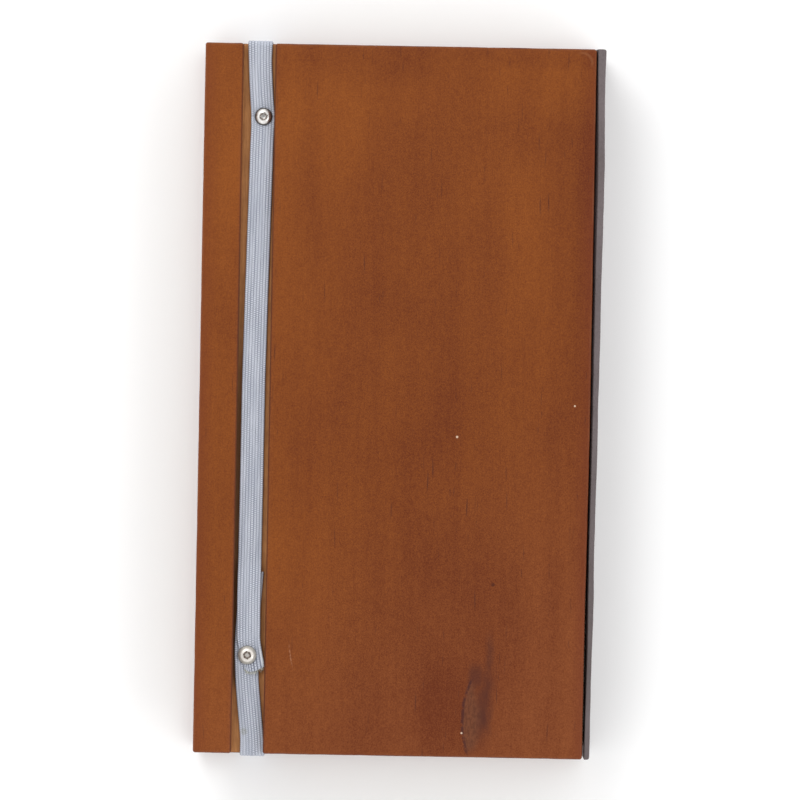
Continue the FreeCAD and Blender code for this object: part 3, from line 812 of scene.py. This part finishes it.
def strap_half(name, low, high, z_low, z_high, cut_edge, material):
    """Half of the strap, as long as the covers, with rounded ends and a wavy outside. Its cut
    edge is at the height cut_edge."""
    x_in, x_out = low.x, high.x
    rings = []
    for y, pinch in eased_stations(low.y, high.y, STRAP_END_ROUND, 2.0 * MM, 5):
        bulge = table_value(STRAP_BULGE, y, 5.0)
        curl = table_value(STRAP_CURL, y, 5.0)
        ring = []
        for x, z in strap_section(x_in, x_out, z_low, z_high):
            outer = (x - x_in) / (x_out - x_in)
            near = 1 - smooth_step(abs(z - cut_edge), 0.2 * MM, STRAP_CURL_REACH)
            lift = 0.10 * MM * ripple((x, y, z), 7 * MM, 6.0) * outer
            moved = x + outer * (bulge - pinch * STRAP_END_ROUND) + lift
            ring.append(Vector((moved + curl * near * (1 - outer), y, z)))
        rings.append(ring)
    return make_piece(name, *skin(rings), material, sharp=60)


def spine_strap():
    """One leather strip, split at mid-spine so that each half bends at one hinge."""
    grey = leather("grey_leather")
    front_low, front_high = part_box("strap_on_front_cover")
    back_low, back_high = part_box("strap_on_back_cover")
    seam = (FRONT_HINGE.z + BACK_HINGE.z) / 2
    bottom, top = front_low.z, back_high.z
    lower = strap_half("strap_front_half", front_low, front_high, bottom, seam, bottom, grey)
    upper = strap_half("strap_back_half", back_low, back_high, seam, top, top, grey)
    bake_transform(lower)
    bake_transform(upper)
    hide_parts("strap_on_front_cover", "strap_spine_panel")
    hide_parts("strap_on_back_cover")


# Text block -----------------------------------------------------------------------------------

SHEETS_PER_SIGNATURE = 3
SHEET_GAP = 0.012 * MM
TRIM = 0.12 * MM


def folded_strip(lower, upper, tail_y, head_y):
    """A closed strip between two lines of (x, z) with equal counts, from tail_y to head_y."""
    count = len(lower)
    points = []
    for y in (tail_y, head_y):
        points += [Vector((x, y, z)) for x, z in lower]
        points += [Vector((x, y, z)) for x, z in upper]
    far = 2 * count
    faces = []
    for i in range(count - 1):
        faces.append((i, i + 1, far + i + 1, far + i))
        faces.append((count + i, far + count + i, far + count + i + 1, count + i + 1))
        faces.append((i, count + i, count + i + 1, i + 1))
        faces.append((far + i, far + i + 1, far + count + i + 1, far + count + i))
    faces.append((0, far, far + count, count))
    last = count - 1
    faces.append((last, count + last, far + count + last, far + last))
    return points, faces


def page_stops(fore_x, bend_x, spine_x):
    """Places along a page, close together where it bends."""
    return span(fore_x, bend_x, 15 * MM) + span(bend_x, spine_x, 0.6 * MM)[1:]


def folded_sheet(low, high, depth, thickness, bend_x, luck):
    """One sheet of a gathering, folded at the spine. depth is how far in from the outside."""
    z_low, z_high = low.z + depth, high.z - depth
    radius = (z_high - z_low) / 2
    fold = (high.x - depth - radius, (z_low + z_high) / 2)
    front = low.x + luck.uniform(0, TRIM)
    back = low.x + luck.uniform(0, TRIM)
    inner_radius = radius - thickness
    stops = page_stops(front, bend_x, fold[0])
    outer = [(x, z_low) for x in stops[:-1]] + arc(fold, radius, -90, 90, 8)
    inner = [(x, z_low + thickness) for x in stops[:-1]] + arc(fold, inner_radius, -90, 90, 8)
    stops = page_stops(back, bend_x, fold[0])[::-1]
    outer += [(x, z_high) for x in stops[1:]]
    inner += [(x, z_high - thickness) for x in stops[1:]]
    trim = luck.uniform(0, TRIM)
    return folded_strip(outer, inner, low.y + trim, high.y - TRIM + trim)


def signature(number, hinge, material):
    """A gathering of folded sheets. Its spine edge stays on the spine when its cover turns."""
    node = f"signature_{number}"
    low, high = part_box(node)
    luck = random.Random(number)
    step = (high.z - low.z) / (2 * SHEETS_PER_SIGNATURE)
    bend_x = hinge.x - PAGE_BEND_START - 1 * MM
    sheets = [
        folded_sheet(low, high, i * step + SHEET_GAP / 2, step - SHEET_GAP, bend_x, luck)
        for i in range(SHEETS_PER_SIGNATURE)
    ]
    piece = make_piece(f"{node}_sheets", *merge(sheets), material, sharp=40)
    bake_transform(piece)
    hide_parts(node)


def flat_page(name, low, high, bend_x, material):
    """One flat page, divided where it bends."""
    stops = page_stops(low.x, bend_x, high.x)
    return make_piece(
        name,
        *folded_strip([(x, low.z) for x in stops], [(x, high.z) for x in stops], low.y, high.y),
        material,
        sharp=40,
    )


def middle_signature(material):
    """The gathering where the book opens: four leaves that turn, and their folds."""
    fold_low, fold_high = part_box("signature_5_fold")
    folds = []
    for depth in range(2):
        outer_low, outer_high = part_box(f"signature_5_leaf_{depth + 1}")
        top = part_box(f"signature_5_leaf_{4 - depth}")[1].z
        thickness = outer_high.z - outer_low.z
        radius = (top - outer_low.z) / 2
        centre = (fold_high.x - depth * 2 * thickness - radius, (top + outer_low.z) / 2)
        outer = [(fold_low.x, outer_low.z)] + arc(centre, radius, -90, 90, 10)
        outer += [(fold_low.x, top)]
        inner = [(fold_low.x, outer_low.z + thickness)]
        inner += arc(centre, radius - thickness, -90, 90, 10) + [(fold_low.x, top - thickness)]
        folds.append(folded_strip(outer, inner, fold_low.y, fold_high.y))
    fold = make_piece("signature_5_folds", *merge(folds), material, sharp=40)
    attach(fold, "spine")
    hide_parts("signature_5_fold")
    for number in range(1, 5):
        node = f"signature_5_leaf_{number}"
        low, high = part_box(node)
        pivot = JOINTS[f"leaf_{number}_turn"]["pos_m"][0]
        high.x = fold_low.x
        leaf = flat_page(f"leaf_{number}_page", low, high, pivot - 2 * LEAF_BEND_REACH, material)
        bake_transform(leaf)
        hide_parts(node)


def endpapers(material):
    """Pastedowns stay on the boards. Flyleaves bend with the text block."""
    for side, hinge in (("front", FRONT_HINGE), ("back", BACK_HINGE)):
        repaint(f"{side}_pastedown", material)
        node = f"{side}_flyleaf"
        low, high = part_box(node)
        piece = flat_page(f"{node}_page", low, high, hinge.x - PAGE_BEND_START - MM, material)
        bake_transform(piece)
        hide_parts(node)


def repaint(node, material):
    """Gives a CAD node that stays as it is its material."""
    slots = frame["nodes"][node].data.materials
    slots.clear()
    slots.append(material)


def sewing(material):
    """Two-ply linen thread over the backs of the gatherings, at each sewing station."""
    low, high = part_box("sewing_threads")
    x = (low.x + high.x) / 2
    stations = 5
    pitch, wrap, ply = 1.1 * MM, 0.09 * MM, 0.10 * MM
    parts = []
    for i in range(stations):
        y = low.y + 0.2 * MM + (high.y - low.y - 0.4 * MM) * i / (stations - 1)
        for phase in (0.0, math.pi):
            path = []
            for z in span(low.z + ply, high.z - ply, 0.14 * MM):
                turn = math.tau * (z - low.z) / pitch + phase
                path.append(Vector((x + wrap * math.cos(turn), y + wrap * math.sin(turn), z)))
            parts.append(tube(path, ply))
    piece = make_piece("sewing_thread", *merge(parts), material)
    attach(piece, "spine")
    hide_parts("sewing_threads")


def text_block():
    pages = paper("page_paper", (0.74, 0.71, 0.63), (0.67, 0.63, 0.54))
    ends = paper("endpaper", (0.69, 0.64, 0.54), (0.60, 0.55, 0.44))
    for number in (1, 2, 3, 4):
        signature(number, FRONT_HINGE, pages)
    for number in (6, 7, 8, 9):
        signature(number, BACK_HINGE, pages)
    middle_signature(pages)
    endpapers(ends)
    repaint("spine_lining", cloth("lining_cloth", (0.66, 0.62, 0.53), (0.34, 0.31, 0.25), 0.9))
    sewing(cloth("linen_thread", (0.72, 0.67, 0.55), (0.44, 0.39, 0.29), 0.5))


# Elastic --------------------------------------------------------------------------------------

RIBS = 8
RIB_POINTS = 6
BAND_HALF = 3.58 * MM
BAND_FLARE = 0.15 * MM
RIB_DEPTH = 0.16 * MM
STITCH_PITCH = 0.66
STATION = 0.9 * MM
LOOP_BEND = 1.0 * MM
WALL_GAP = 0.1 * MM
YARNS = 46

# Where the loop's lower end stops, under the back run
COVERED_END_Y = SCREW_CENTRES["lower_screw"].y + 25.8 * MM

# The middle of the bunched end by the lower screw, and its distance along the run, in mm; the braid
# paints shade and a highlight on its folds there
BUNCH_ALONG = (SCREW_CENTRES["upper_screw"].y - SCREW_CENTRES["lower_screw"].y) / MM
BUNCH_PLACE = (
    SCREW_CENTRES["lower_screw"].x / MM + 2.4,
    SCREW_CENTRES["lower_screw"].y / MM - 2.0,
)

# How far the elastic wanders to the side of the groove's middle: (y, offset) in millimetres
BACK_RUN_DRIFT = ((92, 0.7), (86.4, 1.4), (76, 1.1), (67, 1.0), (55, 0.75), (42, 0.55),
                  (30, 0.3), (18, 0.15), (6, -0.05), (-31, -0.15), (-55, -0.25), (-62, -0.3),
                  (-72, -0.2), (-84, 0.1))
LOOP_HEAD_DRIFT = ((86.4, 1.4), (94.5, 0.7), (100, 0.4), (105, 0.15), (109, 0.2))
LOOP_TAIL_DRIFT = ((-109, 1.55), (-106, 1.55), (-98.6, 0.85), (-92, 0.1), (-86, -0.5),
                   (-75, -0.9), (-64, -0.25), (-53, 0.6))


def drift(table, y):
    """The side offset at y, smooth between the table's points."""
    return table_value(table, y, 3.0)


def rib_height(share):
    """Half the band's thickness across it. share runs from 0 to RIBS."""
    phase = share % 1.0
    lobe = math.sqrt(max(0.0, math.sin(math.pi * phase)))
    edge = min(share, RIBS - share)
    taper = smooth_step(edge, -0.15, 0.35)
    return (BAND_THICKNESS / 2 - RIB_DEPTH + RIB_DEPTH * lobe) * (0.45 + 0.55 * taper)


def band_ring(centre, side, normal):
    """One closed section of the band and its map coordinates across."""
    shares = [i / RIB_POINTS for i in range(RIBS * RIB_POINTS + 1)]
    half = BAND_HALF + BAND_FLARE * smooth_step(abs(centre.y), HEAD_Y - 6 * MM, HEAD_Y)
    ring, across = [], []
    for sense, order in ((1, shares), (-1, shares[::-1])):
        for share in order:
            reach = (share / RIBS * 2 - 1) * half
            ring.append(centre + side * reach + normal * sense * rib_height(share))
            across.append(share)
    return ring, across


def band_piece(name, centres, normals, material, reshape=None):
    """A ribbed band along centres. reshape may move each point once the band is laid."""
    rings, uvs, length = [], [], 0.0
    for i, (centre, normal) in enumerate(zip(centres, normals)):
        ahead = centres[min(i + 1, len(centres) - 1)]
        behind = centres[max(i - 1, 0)]
        side = (ahead - behind).cross(normal).normalized()
        ring, across = band_ring(centre, side, normal)
        if i:
            length += (centre - centres[i - 1]).length
        rings.append(ring)
        uvs += [(share, length / MM) for share in across]
    points, faces = skin(rings)
    if reshape:
        points = [reshape(point) for point in points]
    return make_piece(name, points, faces, material, sharp=75, uvs=uvs)


def pressed(point):
    """The band near a screw, squeezed towards the groove's floor under its head."""
    if point.z < GROOVE_FLOOR_Z - 0.2 * MM:
        return point
    for centre in SCREW_CENTRES.values():
        distance = math.hypot(point.x - centre.x, point.y - centre.y)
        share = smooth_step(distance, HEAD_RADIUS - 0.1 * MM, HEAD_RADIUS + 1.6 * MM)
        kept = BAND_SQUEEZED / BAND_THICKNESS * 0.92
        scale = kept + (1 - kept) * share
        point = Vector((point.x, point.y, GROOVE_FLOOR_Z + (point.z - GROOVE_FLOOR_Z) * scale))
    return point


def band_lift(y):
    """Height of the back run's middle: it climbs onto the other end near the lower screw."""
    climb = 1 - smooth_step(y, COVERED_END_Y - 0.5 * MM, COVERED_END_Y + 4.5 * MM)
    return GROOVE_FLOOR_Z + BAND_THICKNESS * (0.5 + climb)


def gathered_end(point):
    """Lays the last stretch of the back run round the lower screw: its left edge tucks under
    the head, its right edge bulges out, and the cut end hangs in a bow."""
    screw = SCREW_CENTRES["lower_screw"]
    start = 5.0 * MM
    length = 8.0 * MM
    away = point.y - screw.y
    if away > start:
        return point
    share = min(1.0, (start - away) / length)
    middle = GROOVE_X + drift(BACK_RUN_DRIFT, screw.y + start)
    across = (point.x - middle) / BAND_HALF
    first = middle - screw.x + BAND_HALF * across
    bend_x = (0.4 + 3.6 * across + 0.6 * across ** 2) * MM
    bend_y = (0.6 - 0.6 * across - 0.2 * across ** 2) * MM
    end_x = (1.4 + 3.1 * across + 0.9 * across ** 2) * MM
    end_y = (-5.0 + 0.28 * across + 1.32 * across ** 2) * MM
    keep, pull, reach = (1 - share) ** 2, 2 * share * (1 - share), share ** 2
    x = screw.x + keep * first + pull * bend_x + reach * end_x
    y = screw.y + keep * start + pull * bend_y + reach * end_y
    x = min(x, GROOVE_X + GROOVE_WIDTH / 2 - 0.05 * MM)
    puff = smooth_step(share, 0.25, 0.8) * smooth_step(across, -0.4, 0.9)
    fold = math.sin(share * 15.0 + across * 1.5) * smooth_step(share, 0.3, 0.9)
    z = point.z + (0.35 * puff + 0.16 * fold) * MM
    return Vector((x, y, z))


def back_run(material):
    """The stretch between the screws."""
    upper_y = SCREW_CENTRES["upper_screw"].y
    end_y = SCREW_CENTRES["lower_screw"].y - 3.0 * MM
    centres = [
        Vector((GROOVE_X + drift(BACK_RUN_DRIFT, y), y, band_lift(y)))
        for y in span(upper_y, end_y, STATION)
    ]
    normals = [Vector((0, 0, 1))] * len(centres)

    def settle(point):
        return pressed(gathered_end(point))

    piece = band_piece("elastic_run", centres, normals, material, settle)
    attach(piece, "back_cover")
    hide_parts("elastic_back_run")


def closure_loop(material):
    """The stretch round the front cover, which flattens into the groove as the book opens."""
    upper_y = SCREW_CENTRES["upper_screw"].y
    half = BAND_THICKNESS / 2
    head, tail = LOOP_HIGH.y - half, LOOP_LOW.y + half
    top, bottom = GROOVE_FLOOR_Z + half, LOOP_LOW.z + half
    bend = LOOP_BEND + half
    steps = 8
    flat = [(y, top, 90.0) for y in span(upper_y, head - bend, STATION)]
    for (y, z), start in (
        ((head - bend, top - bend), 90),
        ((head - bend, bottom + bend), 0),
        ((tail + bend, bottom + bend), -90),
        ((tail + bend, top - bend), -180),
    ):
        turns = np.linspace(start, start - 90, steps + 1)
        if start in (0, -180):
            gap = span(flat[-1][1], z, STATION)[1:-1]
            flat += [(flat[-1][0], v, float(start)) for v in gap]
        elif start == -90:
            flat += [(v, flat[-1][1], -90.0) for v in span(flat[-1][0], y, STATION * 1.5)[1:-1]]
        angles = [math.radians(t) for t in turns]
        flat += [
            (y + bend * math.cos(a), z + bend * math.sin(a), math.degrees(a)) for a in angles
        ]
    flat += [(y, top, 90.0) for y in span(tail + bend, COVERED_END_Y, STATION)[1:]]
    centres, normals = [], []
    room_in_front = GROOVE_WIDTH / 2 - BAND_HALF - BAND_FLARE - WALL_GAP
    count = len(flat)
    for i, (y, z, angle) in enumerate(flat):
        on_back = z > GROOVE_FLOOR_Z
        if on_back and i < count / 2:
            side = drift(LOOP_HEAD_DRIFT, y)
        elif on_back:
            side = drift(LOOP_TAIL_DRIFT, y)
        else:
            share = (head - y) / (head - tail)
            ends = drift(LOOP_HEAD_DRIFT, head), drift(LOOP_TAIL_DRIFT, tail)
            side = ends[0] + (ends[1] - ends[0]) * smooth_step(share, 0.0, 1.0)
            below = min(side, room_in_front)
            side = below + (side - below) * smooth_step(z, 3 * MM, GROOVE_FLOOR_Z)
        centres.append(Vector((GROOVE_X + side, y, z)))
        a = math.radians(angle)
        normals.append(Vector((0, math.cos(a), math.sin(a))))
    piece = band_piece("elastic_loop", centres, normals, material, pressed)
    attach(piece, "back_cover")
    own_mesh(piece)
    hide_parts("elastic_closure_loop")


def frayed_end():
    """Loose yarn at the cut end of the back run."""
    luck = random.Random(5)
    screw = SCREW_CENTRES["lower_screw"]
    parts = []
    for _ in range(YARNS):
        across = luck.uniform(-0.95, 0.95)
        x = GROOVE_X + drift(BACK_RUN_DRIFT, screw.y + 6 * MM) + BAND_HALF * across
        z = GROOVE_FLOOR_Z + 1.2 * MM + luck.uniform(-0.25, 0.25) * MM
        root = pressed(gathered_end(Vector((x, screw.y - 3 * MM, z))))
        length = luck.uniform(0.5, 1.3) * MM
        lean = Vector((luck.uniform(-0.5, 0.5), -1.0, luck.uniform(-0.25, 0.15))).normalized()
        curl = Vector((luck.uniform(-0.4, 0.4), 0, luck.uniform(-0.4, 0.1))) * length
        path = [root + lean * length * t + curl * t * t for t in (-0.3, 0.0, 0.35, 0.7, 1.0)]
        parts.append(tube(path, 0.07 * MM, sides=5, taper=0.6))
    yarn = Paint("frayed_yarn", roughness=0.9, specular=0.15)
    x, y, z = yarn.position()
    mixed = yarn.noise(x * 1.2, y * 0.8, z, detail=2.0)
    tone = yarn.mix(mixed.ramp(0.35, 0.6), (0.42, 0.43, 0.36), (0.70, 0.69, 0.62))
    yarn.colour(tone)
    yarn.relief(yarn.noise(x * 9.0, y * 2.0, z * 9.0), 0.05 * MM)
    piece = make_piece("elastic_frayed_end", *merge(parts), yarn.material)
    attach(piece, "back_cover")


def elastic():
    material = braid("braided_elastic")
    back_run(material)
    closure_loop(material)
    frayed_end()


# Screws ---------------------------------------------------------------------------------------


THREAD_PITCH = 0.5 * MM
THREAD_CREST = 0.25 * MM
HEAD_RIM = 0.3 * MM
SOCKET_DEPTH = 1.0 * MM
SCREW_SIDES = 72
SCREW_ANGLES = [math.tau * i / SCREW_SIDES for i in range(SCREW_SIDES)]


def hexagon_reach(angle, across):
    """Distance from the middle of a hexagon to its side at an angle. across is over its flats."""
    sector = math.pi / 3
    offset = (angle % sector) - sector / 2
    return across / 2 / math.cos(offset)


def head_base(name):
    """Height of a head's underside, on one or two squeezed layers of the elastic."""
    return GROOVE_FLOOR_Z + BAND_SQUEEZED * (1 if name == "upper_screw" else 2)


def head_top(name):
    return head_base(name) + HEAD_HEIGHT


def screw_ring(radii, z):
    """Points round a screw's axis at the height z, one for each of radii."""
    return [Vector((r * math.cos(a), r * math.sin(a), z)) for r, a in zip(radii, SCREW_ANGLES)]


def thread_rings(tip, base):
    """The threaded shank, which narrows at its tip."""
    rings = []
    for z in span(tip, base, 0.09 * MM):
        lead = min(1.0, (z - tip + 0.1 * MM) / (0.5 * MM))
        radii = []
        for a in SCREW_ANGLES:
            phase = ((z - tip) / THREAD_PITCH - a / math.tau) % 1.0
            cut = THREAD_CREST * (abs(phase - 0.5) * 2)
            radii.append((SHANK_RADIUS - cut) * (0.72 + 0.28 * lead))
        rings.append(screw_ring(radii, z))
    return rings


def head_rings(head_radius, base):
    """The domed head, from its underside round to the bottom of its hexagon socket."""
    rise = HEAD_HEIGHT - HEAD_RIM
    dome = (head_radius ** 2 + rise ** 2) / (2 * rise)

    def dome_z(radius):
        return base + HEAD_HEIGHT - dome + math.sqrt(dome ** 2 - radius ** 2)

    outside = [
        (head_radius - 0.12 * MM, base),
        (head_radius, base + 0.10 * MM),
        (head_radius, base + HEAD_RIM - 0.05 * MM),
    ]
    for share in (0.985, 0.94, 0.86, 0.76, 0.66, 0.58, 0.53):
        outside.append((head_radius * share, dome_z(head_radius * share)))
    lip = dome_z(1.38 * MM)
    floor = base + HEAD_HEIGHT - SOCKET_DEPTH
    socket = (
        (1.10, lip + 0.02 * MM),
        (1.02, lip - 0.06 * MM),
        (1.0, lip - 0.14 * MM),
        (1.0, floor + 0.05 * MM),
        (0.93, floor),
    )
    sides = [hexagon_reach(a, SOCKET_ACROSS) for a in SCREW_ANGLES]
    rings = [screw_ring([radius] * SCREW_SIDES, z) for radius, z in outside]
    rings += [screw_ring([side * scale for side in sides], z) for scale, z in socket]
    return rings + [screw_ring([0.25 * MM] * SCREW_SIDES, floor - 0.2 * MM)]


def screw(name, turn, metal, head_radius):
    """A button head screw: a domed head with a hexagon socket, and a threaded shank."""
    centre = SCREW_CENTRES[name]
    base = head_base(name)
    rings = thread_rings(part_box(name)[0].z, base) + head_rings(head_radius, base)
    spin = math.radians(turn)
    place = Vector((centre.x, centre.y, 0))
    rings = [
        [
            place
            + Vector((p.x * math.cos(spin) - p.y * math.sin(spin),
                      p.x * math.sin(spin) + p.y * math.cos(spin), p.z))
            for p in points
        ]
        for points in rings
    ]
    piece = make_piece(f"{name}_button", *skin(rings), metal, sharp=32)
    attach(piece, "back_cover")
    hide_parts(name)


def fasteners():
    upper = SCREW_CENTRES["upper_screw"]
    lower = SCREW_CENTRES["lower_screw"]
    upper_top, lower_top = head_top("upper_screw"), head_top("lower_screw")
    # The upper head's rim is a painted dark reflection and shade; the lower head's rim is a greyer,
    # duller zinc
    rim_dark_reflection, pale_rim = (0.12, 0.112, 0.10), (0.50, 0.475, 0.43)
    bright = steel("bright_steel", upper, upper_top, rim_dark_reflection, (0.78, 0.76, 0.735), 2.15, 0.30)
    zinc = steel("zinc_steel", lower, lower_top, pale_rim, (0.74, 0.70, 0.65), 1.85, 0.44)
    screw("upper_screw", 14.0, bright, UPPER_HEAD_RADIUS)
    screw("lower_screw", 41.0, zinc, HEAD_RADIUS)
    yellow = brass("insert_brass")
    repaint("upper_insert", yellow)
    repaint("lower_insert", yellow)


# Stage, light and camera ----------------------------------------------------------------------

CAMERA_LENS = 240.0
SENSOR = 36.0
FRAME_WIDTH = 245.1 * MM
VIEW_CENTRE = (0.6 * MM, 0.3 * MM)
VIEW_ROLL = 1.05
FLOOR_REACH = 3.0
FLOOR_GAP = 0.05 * MM


def stage():
    """A pale floor under the book."""
    paint = Paint("pale_floor", roughness=0.9, specular=0.1)
    x, y, _ = paint.position()
    cloud = paint.noise(x * 0.004, y * 0.004, 0.0)
    paint.colour(paint.mix(cloud, (0.95, 0.95, 0.95), (0.96, 0.96, 0.96)))
    level = CAD_LOW.z - FLOOR_GAP
    signs = ((-1, -1), (1, -1), (1, 1), (-1, 1))
    corners = [(across * FLOOR_REACH, along * FLOOR_REACH, level) for across, along in signs]
    floor = make_piece("floor", corners, [(0, 1, 2, 3)], paint.material)


def soft_light(name, place, size, power):
    """A square studio light that faces the book."""
    data = bpy.data.lights.new(name, "AREA")
    data.size = size
    data.energy = power
    light = bpy.data.objects.new(name, data)
    light.location = place
    light.rotation_euler = (-Vector(place)).to_track_quat("-Z", "Y").to_euler()
    bpy.context.scene.collection.objects.link(light)


def lights():
    """An even, bright surround that dims overhead, and two soft lights."""
    world = bpy.data.worlds.new("studio")
    world.use_nodes = True
    tree = world.node_tree
    background = tree.nodes["Background"]
    background.inputs["Color"].default_value = (1.0, 1.0, 1.0, 1.0)
    place = add_node(tree, "TexCoord", {})["Generated"]
    height = Field(tree, add_node(tree, "SeparateXYZ", {0: place})[2])
    connect(tree, background.inputs["Strength"], height.ramp(0.96, 0.74) * 1.08 + 0.25)
    bpy.context.scene.world = world
    bpy.context.scene.view_settings.view_transform = "Standard"
    soft_light("key", (-0.35, 0.75, 0.85), 0.5, 3.5)
    soft_light("fill", (0.8, -0.35, 0.8), 0.7, 2.0)


def camera():
    """Straight down on the back cover, turned as the picture of the real book is."""
    data = bpy.data.cameras.new("camera")
    data.lens = CAMERA_LENS
    data.sensor_width = SENSOR
    distance = FRAME_WIDTH * CAMERA_LENS / SENSOR
    view = bpy.data.objects.new("camera", data)
    view.location = (VIEW_CENTRE[0], VIEW_CENTRE[1], BACK_HIGH.z + distance)
    view.rotation_euler = (0.0, 0.0, math.radians(VIEW_ROLL))
    data.clip_end = 2 * distance
    bpy.context.scene.collection.objects.link(view)
    bpy.context.scene.camera = view


covers()
spine_strap()
text_block()
elastic()
fasteners()
stage()
lights()
camera()
